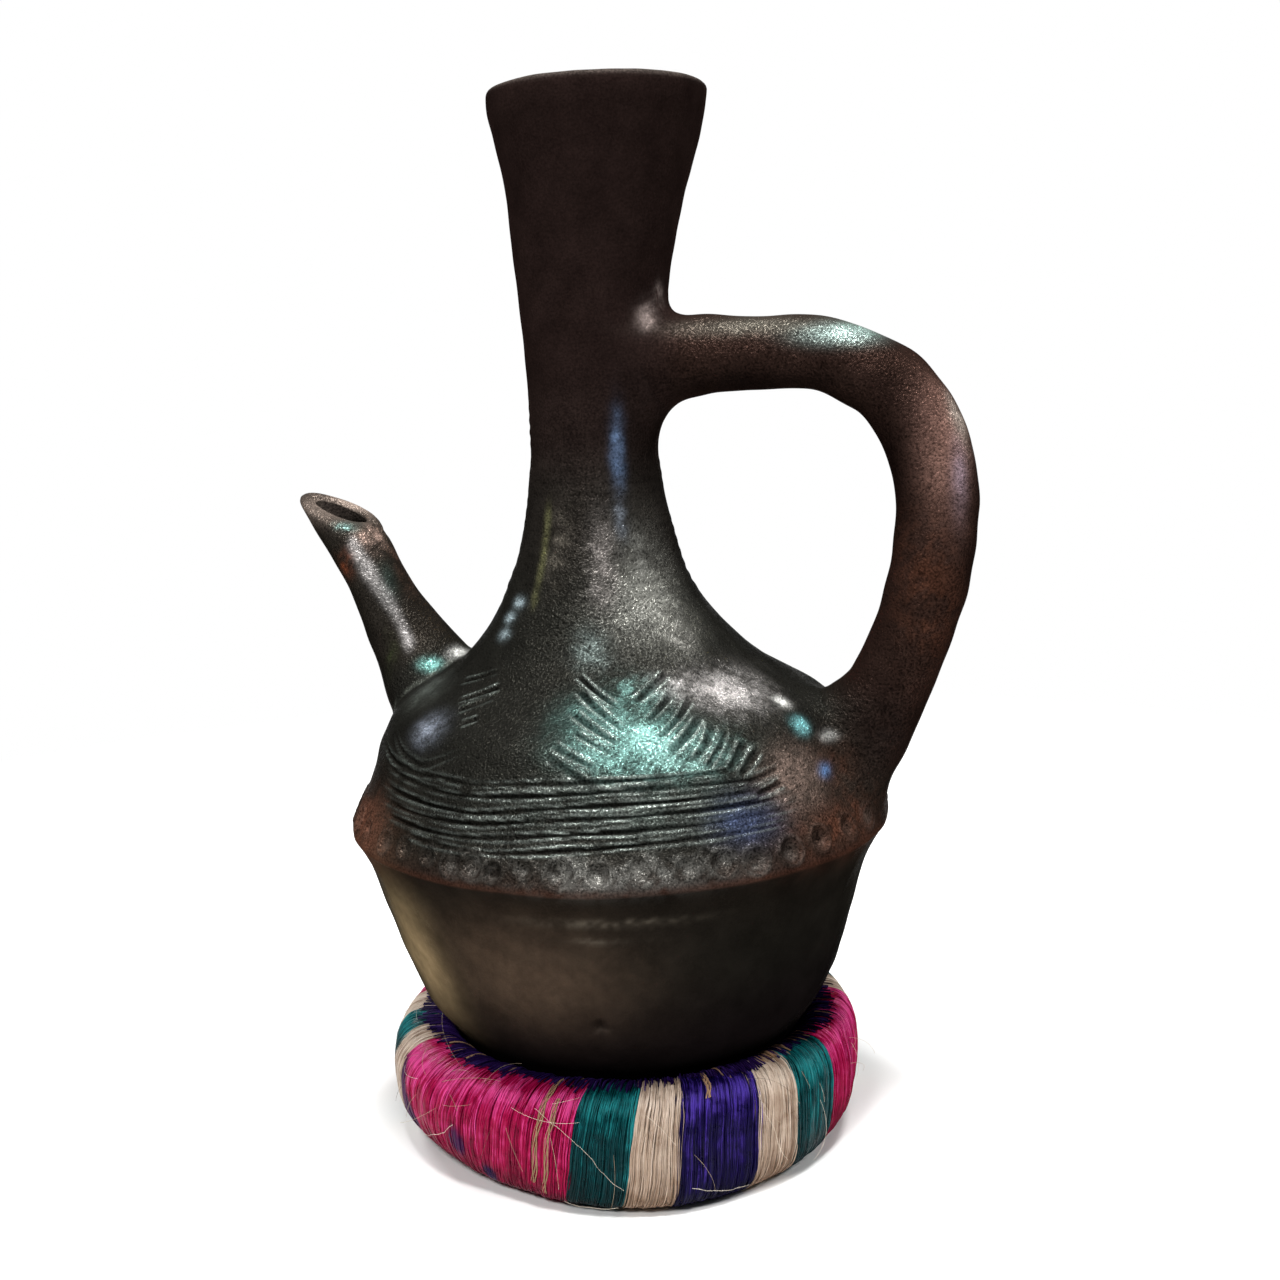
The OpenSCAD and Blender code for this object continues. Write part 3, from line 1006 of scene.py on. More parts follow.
    def thumbs(self, p: Array) -> Array:
        """Depth of the fingertip marks on the seam band.

        Args:
            p: Points on the body.

        Returns:
            The height at each point, below zero in a mark and above it on its edge.
        """
        rng = np.random.default_rng(5)
        rest = np.arange(60.5, 287.0, 8.0)
        turns = np.concatenate([self.thumb_turns, rest + rng.uniform(-1.2, 1.2, len(rest))])
        out = np.zeros(len(p))
        band = np.flatnonzero((p[:, 2] > self.thumb_range[0]) & (p[:, 2] < self.thumb_range[1]))
        for turn in turns:
            size = self.thumb_size * rng.uniform(0.68, 1.12)
            centre = self.place(turn, self.thumb_height + rng.uniform(-0.7, 0.7))
            depth = self.thumb_depth * rng.uniform(0.5, 1.15)
            d = np.linalg.norm(p[band] - centre, axis=1) / size
            edge = 0.35 * np.exp(-(((d - 1.1) / 0.17) ** 2))
            out[band] += depth * (-np.maximum(1 - d * d, 0) ** 1.3 + edge)
        return out

    def relief(self, p: Array) -> Array:
        """How far the skin stands out from the even outline, without the cut lines.

        Args:
            p: Points on the body.

        Returns:
            The height at each point.
        """
        z = p[:, 2]
        # Slow waves of the hand-built clay
        hand = 0.4 * Waves(85, 3).at(p) + 0.12 * Waves(26, 4).at(p) + 0.035 * Waves(9, 8).at(p)
        out = ease(z, 26, 40) * hand
        # Fine rings on the neck
        broken = 0.5 + 0.5 * Waves(18, 7).at(p)
        rings = np.sin(2 * math.pi * z / 3.1 + 1.1 * Waves(60, 6).at(p)) * broken
        out += 0.085 * rings * ease(z, 138, 150) * ease(-z, -204, -186)
        # Uneven lower edge of the seam band
        edge = np.sin(np.arctan2(p[:, 1], p[:, 0]) * 5 + 1)
        out += 0.35 * edge * ease(z, 74, 80) * ease(-z, -92, -84)
        # Pit in the bowl
        pit = np.linalg.norm(p - self.place(*self.pit), axis=1)
        out -= 1.2 * np.exp(-((pit / 1.5) ** 2)) * (1 + 0.4 * np.sin(p[:, 0] * 4))
        return out + self.thumbs(p)

    @staticmethod
    def turned(path: Array, around: Array) -> Array:
        """Rows of points round the axis, from a path of radius and height."""
        wide, high = path[:, :1], np.repeat(path[:, 1:], len(around), 1)
        return np.stack([wide * np.cos(around), wide * np.sin(around), high], axis=-1)

    def body_rows(self, path: Array, columns: int) -> tuple[Array, Array]:
        """Rows of points round the axis.

        Args:
            path: Path of radius and height.
            columns: Number of points in a row.

        Returns:
            The points and their outward directions.
        """
        around = np.linspace(0, 2 * math.pi, columns, endpoint=False)
        way = np.gradient(path, axis=0)
        n = np.column_stack([way[:, 1], -way[:, 0]])
        n /= np.linalg.norm(n, axis=1)[:, None]
        return self.turned(path, around), self.turned(n, around)

    def outer(self, low: float, high: float, step: float) -> Array:
        """Path of the outer outline between two heights."""
        z = np.linspace(low, high, 2000)
        return resample(np.column_stack([self.radius(z), z]), step)

    def shaped(self, path: Array, columns: int) -> RingSkin:
        """Outer rows with relief and cut lines, flowing into spout and handle.

        Args:
            path: Path of radius and height.
            columns: Number of points in a row.

        Returns:
            The skin, still open, with its cut lines.
        """
        rows, ways = self.body_rows(path, columns)
        p, n = rows.reshape(-1, 3), ways.reshape(-1, 3)
        move, keep, reach = np.zeros(len(p)), np.ones(len(p)), np.ones(len(p))
        for limb in (self.handle, self.spout):
            far = limb.gap(p)
            move += flow_together(p, n, self.gap, limb.gap, limb.corner)
            keep *= ease(far, 2.0, 13.0)
            reach *= ease(far, 0.5, 5.0)
        cut = reach * self.carve(p)
        out = move + keep * self.relief(p) + cut
        return RingSkin((p + n * out[:, None]).reshape(rows.shape), cut=cut)

    def coat(self, p: Array, limb: Optional[Limb], cut: Array) -> dict[str, Array]:
        """Colour and gloss of the clay at points, with painted highlights and painted shade.

        Args:
            p: Points of the upright pot.
            limb: The limb that the points are on, or none for the body.
            cut: Height of the cut lines at the points.

        Returns:
            Values for tint, metal, rough and grit.
        """
        tone = self.toning(p[:, 2])
        if limb is not None:
            share = ease(self.gap(p), 1.0, 14.0)[:, None]
            tone = tone * (1 - share) + np.asarray(limb.clay) * share
        tint, rough, grit, metal = tone[:, :3].copy(), tone[:, 3].copy(), tone[:, 4], tone[:, 5].copy()
        drift = 0.8 * Waves(16, 21).at(p) + 0.7 * Waves(5, 22).at(p) + 0.5 * Waves(2.2, 23).at(p)
        cloud = 0.5 + 0.5 * np.tanh(drift)
        # Patches of rust and brown, and of painted highlights, reflections and shade
        for spot in self.light_and_stain_patches():
            rel = p - np.asarray(spot.place)
            across, up = rel[:, 0] ** 2 + rel[:, 1] ** 2, rel[:, 2] ** 2
            d = across / spot.size[0] ** 2 + up / spot.size[1] ** 2
            w = np.clip(spot.force * np.exp(-d) * (1 + spot.broken * (1.25 * cloud - 0.85)), 0, 1)
            tint += (np.asarray(spot.colour) - tint) * w[:, None]
            metal += (spot.metal - metal) * w
            rough += (spot.rough - rough) * w
        # Share of the side that faces the camera, where painted highlights are strongest
        turn = np.degrees(np.arctan2(p[:, 1], p[:, 0])) - FACING
        front = np.exp(-((turn / 26) ** 2))
        if limb is None:
            # Painted highlight in the fingertip marks and on their rims, strongest in front
            dent = self.thumbs(p)
            pressed, raised = np.clip(-dent, 0, 1), np.clip(3 * dent, 0, 1)
            pale = (0.7 * pressed + 0.3 * raised) * (0.2 + 0.8 * cloud) * (0.2 + 0.8 * front)
            tint += (np.array(self.thumb_shine) - tint) * pale[:, None]
            metal += (0.6 - metal) * pale
        # Painted highlight: a pale line along the spout's joint
        crease = np.exp(-(((self.spout.gap(p) - self.gap(p)) / 0.9) ** 2))
        tint += (np.array(self.crease_shine) - tint) * (0.5 * crease * cloud)[:, None]
        # Painted shade in the cut lines, and a painted highlight on their edges, strongest in front
        fleck = np.clip(0.8 + 0.3 * Waves(7.0, 24).at(p), 0, 1)
        groove, edge = np.clip(-cut / 0.55, 0, 1), np.clip(cut / 0.2, 0, 1)
        tint += (np.array(self.edge_shine) - tint) * ((0.22 + 0.28 * front) * edge * fleck)[:, None]
        tint *= (1 - 0.55 * groove)[:, None]
        metal = (metal + 0.6 * edge * (1 - metal)) * (1 - 0.85 * groove)
        rough += 0.25 * groove - 0.05 * edge
        return {"tint": tint, "metal": metal, "rough": rough, "grit": grit}

    def on(self, turn: float, height: float) -> tuple[float, float, float]:
        """One place on the body's skin, for a patch of sheen."""
        return tuple(self.place(turn, height))

    def light_and_stain_patches(self) -> list[LightAndStainPatch]:
        """Patches of rust and brown, and painted highlights, reflections and shade, each over those before
        it.

        Returns:
            The patches: body, handle and spout as the photograph shows them, then the back.
        """
        on = self.on
        # Colours of rust and brown clay, and of painted sheen and painted glints
        rust, brown, blue_grey_sheen = (0.05, 0.02, 0.012), (0.20, 0.14, 0.115), (0.20, 0.22, 0.26)
        teal, blue = (0.172, 0.335, 0.30), (0.13, 0.20, 0.34)
        grey, glint = (0.36, 0.34, 0.33), (0.8, 0.8, 0.76)
        # Painted highlight streaks on the neck's left side and along the spout
        streak_neck = [
            LightAndStainPatch(on(-42, height), (1.1, 4), (0.13, 0.13, 0.06), 0.4, 0.4, 0.4, 0.5)
            for height in range(148, 172, 4)
        ]
        along_spout = np.array([
            (-70.6, -7.3, 159.2), (-67.8, -7.7, 154.5), (-63.9, -7.7, 149.0), (-60.6, -7.7, 144.5),
            (-57.5, -8.8, 139.0), (-55.0, -9.9, 132.5),
        ])
        streak_spout = [
            LightAndStainPatch(tuple(place), (1.3, 2.2), (0.42, 0.4, 0.39), 0.62, 0.34, 0.62, 0.6)
            for place in resample(along_spout, 1.6)
        ]
        return [
            # Painted reflections on the bowl's left side and middle
            LightAndStainPatch(on(-58, 58), (11, 20), (0.24, 0.175, 0.094), 0.05, 0.38, 0.95, 0.15),
            LightAndStainPatch(on(-24, 62), (25, 15), (0.066, 0.044, 0.03), 0.15, 0.32, 0.85, 0.2),
            LightAndStainPatch(on(-2, 77), (16, 1.2), (0.10, 0.085, 0.065), 0.3, 0.4, 0.5),
            LightAndStainPatch(on(-5, 72), (9, 0.8), (0.1, 0.085, 0.065), 0.3, 0.4, 0.4),
            # Painted highlight on the pit's lower rim and painted shade in the pit
            LightAndStainPatch(on(-7.6, 45.8), (1.6, 0.6), (0.09, 0.07, 0.055), 0.1, 0.45, 0.6),
            LightAndStainPatch(on(-7.6, 47.5), (1.7, 1.2), (0.001, 0.001, 0.001), 0.0, 0.6, 1.0),
            LightAndStainPatch(on(-70, 90), (17, 9), (0.075, 0.032, 0.02), 0.1, 0.4, 0.9, 0.6),
            LightAndStainPatch(on(50, 92), (20, 7), rust, 0.15, 0.4, 0.9, 0.6),
            # Painted highlights, reflections and glints on the band, shoulder and neck, among rust and brown
            # patches
            LightAndStainPatch(on(0, 90), (24, 4), (0.13, 0.13, 0.12), 0.6, 0.36, 0.45),
            LightAndStainPatch(on(3, 103), (24, 6), (0.14, 0.19, 0.17), 0.6, 0.34, 0.1),
            LightAndStainPatch(on(27, 99), (8, 5), (0.06, 0.09, 0.2), 0.6, 0.36, 0.4, 0.4),
            LightAndStainPatch(on(42, 105), (10, 7), brown, 0.35, 0.4, 0.6, 0.6),
            LightAndStainPatch(on(56, 106), (7, 6), rust, 0.2, 0.4, 0.6, 0.5),
            LightAndStainPatch(on(5, 117.5), (12, 5.5), teal, 0.8, 0.32, 1.0, 0.6),
            LightAndStainPatch(on(-5, 123), (7, 5), teal, 0.7, 0.34, 0.35, 0.5),
            LightAndStainPatch(on(18, 114), (10, 4), (0.16, 0.28, 0.25), 0.7, 0.34, 0.6),
            LightAndStainPatch(on(10, 127), (7, 3), teal, 0.6, 0.34, 0.35),
            LightAndStainPatch(on(40, 125), (11, 4.5), (0.29, 0.275, 0.265), 0.6, 0.34, 0.85, 0.75),
            LightAndStainPatch(on(24, 128), (6, 3), grey, 0.5, 0.36, 0.4),
            LightAndStainPatch(on(-55, 117.5), (5, 4), blue_grey_sheen, 0.7, 0.34, 0.8, 0.6),
            LightAndStainPatch(on(-6, 136), (4, 6), (0.12, 0.15, 0.14), 0.6, 0.36, 0.6, 0.7),
            LightAndStainPatch(on(36, 138), (4, 6), (0.2, 0.19, 0.175), 0.5, 0.38, 0.45),
            LightAndStainPatch(on(30, 146), (10, 16), (0.19, 0.19, 0.17), 0.5, 0.38, 0.85, 0.4),
            LightAndStainPatch(on(30, 157), (2.0, 11), (0.22, 0.22, 0.2), 0.6, 0.36, 0.5, 0.6),
            LightAndStainPatch(on(3, 156), (3.2, 13), (0.2, 0.18, 0.17), 0.5, 0.36, 0.75, 0.8),
            LightAndStainPatch(on(-30, 160), (3, 14), (0.09, 0.08, 0.065), 0.5, 0.4, 0.5),
            *streak_neck,
            LightAndStainPatch(on(20, 185), (1.7, 9), blue, 0.9, 0.32, 0.75, 0.6),
            LightAndStainPatch(on(19, 168), (1.6, 7), (0.15, 0.17, 0.2), 0.7, 0.36, 0.5),
            LightAndStainPatch((16.9, -8.5, 218.2), (2.6, 3.2), (0.3, 0.24, 0.22), 0.3, 0.38, 0.6, 0.9),
            LightAndStainPatch((19.2, -4.0, 223.9), (2.0, 2.4), (0.3, 0.24, 0.22), 0.3, 0.38, 0.5, 0.9),
            LightAndStainPatch(on(52.5, 120.4), (2.0, 1.6), glint, 0.5, 0.3, 0.9, 0.5),
            LightAndStainPatch(on(51, 115.6), (2.6, 1.8), (0.25, 0.62, 0.64), 0.6, 0.3, 1.0, 0.5),
            LightAndStainPatch(on(58.5, 111.8), (2.4, 1.2), glint, 0.5, 0.3, 0.8, 0.5),
            # Painted shade under the handle's top bar and in its inner bend
            LightAndStainPatch((44.0, -6.0, 201.0), (26, 3.4), (0.006, 0.004, 0.0035), 0.3, 0.36, 0.7, 0.3),
            LightAndStainPatch((81.0, -7.0, 178.0), (6, 22), (0.0062, 0.0034, 0.0028), 0.4, 0.34, 0.95, 0.2),
            # Handle's outer bend: reddish brown that is partly rust and partly a painted highlight, then a
            # painted highlight and a purple painted reflection along its edge
            LightAndStainPatch((93.5, -7.5, 186.0), (6.5, 17), (0.18, 0.1, 0.08), 0.15, 0.4, 0.85, 0.3),
            LightAndStainPatch((95.6, -3.0, 193.0), (2.4, 11), (0.34, 0.3, 0.26), 0.5, 0.36, 0.8, 0.5),
            LightAndStainPatch((97.0, -7.0, 178.0), (2.2, 9), (0.22, 0.165, 0.2), 0.45, 0.38, 0.6, 0.4),
            # Painted shade on the handle's foot
            LightAndStainPatch((76.0, -7.0, 112.0), (9, 15), (0.009, 0.0065, 0.0058), 0.5, 0.3, 0.75, 0.3),
            # Painted glints on the neck's left side
            LightAndStainPatch((-14.8, -21.3, 146.3), (2.2, 1.4), (0.26, 0.32, 0.34), 0.6, 0.34, 0.75, 0.6),
            LightAndStainPatch((-17.6, -22.1, 142.1), (2.2, 1.4), (0.26, 0.32, 0.34), 0.6, 0.34, 0.75, 0.6),
            LightAndStainPatch((-18.7, -24.6, 138.2), (2.2, 1.4), (0.26, 0.32, 0.34), 0.6, 0.34, 0.75, 0.6),
            LightAndStainPatch((89.0, -8.0, 150.0), (8, 18), rust, 0.15, 0.38, 0.6),
            # Painted highlights along the handle's top
            LightAndStainPatch((68.0, -5.0, 212.2), (9, 2.4), (0.3, 0.4, 0.37), 0.7, 0.34, 0.8, 0.3),
            LightAndStainPatch((44.0, -5.0, 215.0), (17, 2.2), (0.17, 0.17, 0.14), 0.5, 0.38, 0.35, 0.3),
            # Painted highlight streak along the spout
            *streak_spout,
            LightAndStainPatch((-66.5, -3.5, 162.5), (4, 5), brown, 0.4, 0.38, 0.85),
            LightAndStainPatch((-61.0, 1.0, 151.0), (5, 7), (0.06, 0.035, 0.026), 0.3, 0.4, 0.7),
            LightAndStainPatch((-60.5, -6.5, 150.5), (2.6, 7), (0.028, 0.042, 0.036), 0.6, 0.36, 0.75, 0.3),
            LightAndStainPatch((-72.5, -6.5, 154.5), (2.6, 3.2), (0.15, 0.04, 0.016), 0.05, 0.4, 0.9),
            LightAndStainPatch((-79.0, 1.0, 169.0), (13, 4), (0.24, 0.19, 0.16), 0.2, 0.4, 0.8, 0.4),
            # Painted highlights at the spout's lip and root, a blue painted glint by the handle's foot and a
            # pale painted sheen by the spout's root, with a greenish patch among them
            LightAndStainPatch((-72.0, -6.6, 165.2), (3.0, 1.5), (0.24, 0.46, 0.42), 0.6, 0.34, 0.9),
            LightAndStainPatch((-48.9, -10.4, 126.2), (2.6, 1.5), (0.22, 0.5, 0.45), 0.7, 0.34, 0.85, 0.5),
            LightAndStainPatch((-60.5, -8.5, 128.0), (2.0, 5), (0.06, 0.08, 0.03), 0.5, 0.36, 0.7),
            LightAndStainPatch((-43.6, -3.2, 127.8), (2.8, 1.6), glint, 0.7, 0.3, 1.0, 0.4),
            LightAndStainPatch(on(52, 104.8), (2.6, 1.6), (0.1, 0.2, 0.4), 0.6, 0.34, 0.6, 0.8),
            LightAndStainPatch((-43.5, -25.0, 122.4), (9, 4), (0.085, 0.095, 0.085), 0.5, 0.36, 0.6, 0.5),
            # Painted sheen on the back of the shoulder and neck
            LightAndStainPatch(on(150, 119), (16, 5), (0.15, 0.2, 0.19), 0.75, 0.32, 0.8, 0.6),
            LightAndStainPatch(on(205, 121), (15, 5), (0.22, 0.2, 0.185), 0.7, 0.34, 0.8, 0.6),
            LightAndStainPatch(on(178, 104), (26, 6), (0.1, 0.1, 0.09), 0.65, 0.34, 0.7, 0.6),
            LightAndStainPatch(on(168, 160), (3, 14), (0.14, 0.15, 0.16), 0.7, 0.36, 0.7, 0.5),
            LightAndStainPatch(on(190, 60), (24, 14), (0.05, 0.034, 0.024), 0.15, 0.34, 0.8, 0.3),
            LightAndStainPatch(on(115, 110), (14, 8), brown, 0.4, 0.38, 0.6, 0.7),
            LightAndStainPatch(on(245, 106), (14, 8), rust, 0.3, 0.38, 0.7, 0.6),
        ]

    def finish(
        self, skin: RingSkin, name: str, node: str, limb: Optional[Limb] = None, inside: int = 0
    ) -> None:
        """Write a skin of clay, paint it and let it ride on the pot.

        Args:
            skin: Rows of the upright piece.
            name: Name of the piece.
            node: Solid that it stands for.
            limb: The limb that it is, or none for the body.
            inside: Number of last rows that lie inside a bore, which are painted dark as shade.
        """
        points = skin.points()
        cut = np.zeros(len(points))
        if skin.cut is not None:
            cut[: len(skin.cut)] = skin.cut
        coats = self.coat(points, limb, cut)
        # Painted shade: the rows inside the bore are darkened
        if inside:
            count = inside * skin.rows.shape[1] + 1
            coats["tint"][-count:] *= 0.15
            coats["metal"][-count:] = 0.0
            coats["rough"][-count:] = 0.9
        poles = [None if pole is None else self.lean(pole) for pole in (skin.start, skin.end)]
        piece = RingSkin(self.lean(skin.rows), skin.loop, *poles, skin.crisp).build(name)
        for layer, values in coats.items():
            paint(piece.data, layer, values)
        piece.data.materials.append(self.clay)
        hand_over(piece, "pot", node)

    def inner(self, z: Array) -> Array:
        """Inner radius of shoulder and neck at heights over the table."""
        return np.maximum(self.throat, self.radius(z) - self.wall * np.sqrt(1 + self.slope(z) ** 2))

    def closed(self, outside: RingSkin, inside: Array) -> RingSkin:
        """Skin of a piece that is open above and below.

        Args:
            outside: Shaped outer rows.
            inside: Inner path of radius and height, from the top down.

        Returns:
            The closed skin.
        """
        within, _ = self.body_rows(inside, outside.rows.shape[1])
        m = len(outside.rows)
        crisp = (0, m - 1, m, m + len(within) - 1)
        return RingSkin(np.concatenate([outside.rows, within]), True, crisp=crisp, cut=outside.cut)

    def build_bowl(self) -> None:
        """Make the bowl with its flat and its inside."""
        under = np.column_stack([np.linspace(3, self.flat - 0.4, 12), np.full(12, self.lift)])
        side = self.outer(self.lift + 0.05, self.seam_low, 0.85)
        path = np.vstack([under, side])
        outside = self.shaped(path, self.columns)
        share = np.linspace(1, 0, 26) ** 1.4
        r = self.hollow[0] + self.hollow[1] * bowl_swell(share)
        floor = self.lift + self.floor_wall
        z = floor + share * (self.seam_low - self.lift - self.floor_wall)
        within, _ = self.body_rows(np.column_stack([r, z]), self.columns)
        m = len(outside.rows)
        rows = np.concatenate([outside.rows, within])
        poles = np.array([0, 0, self.lift]), np.array([0, 0, floor])
        skin = RingSkin(rows, False, *poles, (m - 1, m), outside.cut)
        self.finish(skin, "bowl_skin", "base_bowl")

    def build_band(self) -> None:
        """Make the band over the seam with its fingertip marks."""
        outside = self.shaped(self.outer(self.seam_low, self.seam_high, 0.46), self.fine_columns)
        inside = np.array([[self.band_bore, self.seam_high], [self.band_bore, self.seam_low]])
        self.finish(self.closed(outside, inside), "band_skin", "seam_band")

    def build_shoulder(self) -> None:
        """Make the shoulder in two skins, the lower one fine enough for its cut lines."""
        low = self.shaped(self.outer(self.seam_high, self.cut_high, 0.52), self.fine_columns)
        z = np.linspace(self.cut_high, self.seam_low + 4, 8)
        inside = np.column_stack([np.minimum(self.inner(z), self.shoulder_bore), z])
        self.finish(self.closed(low, inside), "shoulder_skin", "shoulder")
        high = self.shaped(self.outer(self.cut_high, self.neck_low, 0.75), self.columns)
        z = np.linspace(self.neck_low, self.cut_high, 12)
        inside = np.column_stack([self.inner(z), z])
        self.finish(self.closed(high, inside), "shoulder_top_skin", "shoulder")

    def build_neck(self) -> None:
        """Make the neck with its throat."""
        outside = self.shaped(self.outer(self.neck_low, self.neck_high, 0.7), self.columns)
        z = np.linspace(self.neck_high, self.neck_low, 8)
        inside = np.column_stack([np.full(len(z), self.throat), z])
        self.finish(self.closed(outside, inside), "neck_skin", "neck")

    def build_mouth(self) -> None:
        """Make the flared mouth with its rounded lip."""
        half = self.rim_wall / 2
        a = np.linspace(0.15, math.pi, 12)
        lip = np.column_stack([self.rim - half + half * np.cos(a), self.top - half + half * np.sin(a)])
        side = self.outer(self.neck_high, self.top - half, 0.8)
        outside = self.shaped(np.vstack([side, lip]), self.columns)
        share = np.linspace(0.97, 0, 30)
        r = self.throat + share**1.3 * (self.rim - self.rim_wall - self.throat)
        inside = np.column_stack([r, self.neck_high + share * (self.top - half - self.neck_high)])
        skin = self.closed(outside, inside)
        skin.crisp = (0, len(skin.rows) - 1)
        self.finish(skin, "mouth_skin", "mouth_funnel")

    def limb_rows(self, limb: Limb, seed: int) -> Array:
        """Outer rows of a limb, uneven by hand and flowing into the body.

        Args:
            limb: The limb.
            seed: Start of its random waves.

        Returns:
            The rows, one for each station.
        """
        rows = limb.ring()
        round_ = np.roll(rows, -1, 1) - np.roll(rows, 1, 1)
        along = np.gradient(rows, axis=0)
        n = np.cross(round_, along)
        n /= np.linalg.norm(n, axis=-1)[..., None]
        p, n = rows.reshape(-1, 3), n.reshape(-1, 3)
        n *= np.sign(((p - np.repeat(limb.middle, limb.sides, 0)) * n).sum(1))[:, None]
        keep = ease(self.gap(p), 2.0, 13.0)
        uneven = 0.45 * Waves(40, seed).at(p) + 0.1 * Waves(13, seed + 1).at(p)
        q = p + n * (flow_together(p, n, limb.gap, self.gap, limb.corner) + keep * uneven)[:, None]
        deep = np.minimum(self.gap(q) + 2.2, 0)
        return (q - self.outward(q) * deep[:, None]).reshape(rows.shape)

    def build_handle(self) -> None:
        """Make the solid loop of the handle."""
        rows = self.limb_rows(self.handle, 31)[:, ::-1]
        skin = RingSkin(rows, False, rows[0].mean(0), rows[-1].mean(0))
        self.finish(skin, "handle_skin", "handle", self.handle)

    def build_spout(self) -> None:
        """Make the hollow spout, with its mouth cut lower on the near side."""
        limb = self.spout
        tilt = self.mouth_tilt * np.linspace(0, 1, len(limb.line))[:, None] ** 6
        outside = self.limb_rows(limb, 41)
        outside[..., 2] += tilt * outside[..., 1]
        end = np.linspace(0, 1, len(limb.line))[:, None] ** 4
        bore = limb.ring(self.spout_wall + end * (self.mouth_wall, 0.0))
        shift = self.mouth_shift[0] * limb.side[-1] + self.mouth_shift[1] * np.array([0.0, 1.0, 0.0])
        bore += end[..., None] * shift
        bore[..., 2] += tilt * bore[..., 1]
        bore = bore[::-1]
        edge, hole = outside[-1], bore[0]
        way = limb.middle[-1] - limb.middle[-3]
        way /= np.linalg.norm(way)
        a = np.linspace(0.25, math.pi - 0.25, 7)[:, None, None]
        lip = (edge + hole) / 2 + (edge - hole) / 2 * np.cos(a)
        lip = lip + way * (self.spout_wall[0] * 0.5) * np.sin(a)
        within = bore[: int(0.72 * len(bore))]
        rows = np.concatenate([outside, lip, within])
        skin = RingSkin(rows, False, rows[0].mean(0), rows[-1].mean(0))
        self.finish(skin, "spout_skin", "spout", limb, len(within))

    def build(self) -> None:
        """Make all pieces of the pot."""
        self.build_bowl()
        self.build_band()
        self.build_shoulder()
        self.build_neck()
        self.build_mouth()
        self.build_spout()
        self.build_handle()


class GeometryTree:
    """A Geometry Nodes tree with named inputs, and its use on an object."""

    def __init__(self, name: str, inputs: dict[str, str]) -> None:
        """Start a tree with geometry in and out.

        Args:
            name: Name of the tree.
            inputs: Blender's socket kind for each named input.
        """
        self.tree = bpy.data.node_groups.new(name, "GeometryNodeTree")
        face = self.tree.interface
        face.new_socket("Geometry", in_out="INPUT", socket_type="NodeSocketGeometry")
        face.new_socket("Geometry", in_out="OUTPUT", socket_type="NodeSocketGeometry")
        self.keys = {
            label: face.new_socket(label, in_out="INPUT", socket_type=f"NodeSocket{kind}").identifier
            for label, kind in inputs.items()
        }
        self.bench = NodeBench(self.tree)

    def tube(self, curve: Socket, sides: object, thick: Socket) -> Socket:
        """Sweep a round section along curves.

        Args:
            curve: Socket of the curves.
            sides: Number of sides of the section, or its socket.
            thick: Socket of the radius.

        Returns:
            The socket of the tubes.
        """
        section = self.bench.add("GeometryNodeCurvePrimitiveCircle")
        self.bench.feed(section.inputs["Resolution"], sides)
        section.inputs["Radius"].default_value = 1.0
        tube = self.bench.add("GeometryNodeCurveToMesh")
        self.bench.feed(tube.inputs["Curve"], curve)
        self.bench.feed(tube.inputs["Profile Curve"], section.outputs[0])
        self.bench.feed(tube.inputs["Scale"], thick)
        return tube.outputs[0]

    def close(self, source: Socket, material: Socket) -> None:
        """End the tree in real geometry with its material.

        Args:
            source: Socket of the geometry.
            material: Socket of the material.
        """
        smooth = self.bench.add("GeometryNodeSetShadeSmooth")
        self.bench.feed(smooth.inputs["Geometry"], source)
        real = self.bench.add("GeometryNodeRealizeInstances")
        self.bench.feed(real.inputs["Geometry"], smooth.outputs[0])
        dress = self.bench.add("GeometryNodeSetMaterial")
        self.bench.feed(dress.inputs["Geometry"], real.outputs[0])
        self.bench.feed(dress.inputs["Material"], material)
        self.bench.feed(self.bench.add("NodeGroupOutput").inputs[0], dress.outputs[0])

    def grow(self, piece: Piece, **values: object) -> None:
        """Run the tree on an object and keep the result as its plain mesh.

        Args:
            piece: Object whose mesh the tree starts from.
            **values: Inputs by name, with _ for a space.
        """
        modifier = piece.modifiers.new("grow", "NODES")
        modifier.node_group = self.tree
        for name, value in values.items():
            modifier[self.keys[name.replace("_", " ")]] = value
        graph = bpy.context.evaluated_depsgraph_get()
        grown = piece.evaluated_get(graph)
        mesh = bpy.data.meshes.new_from_object(grown, preserve_all_data_layers=True, depsgraph=graph)
        piece.modifiers.clear()
        piece.data = mesh


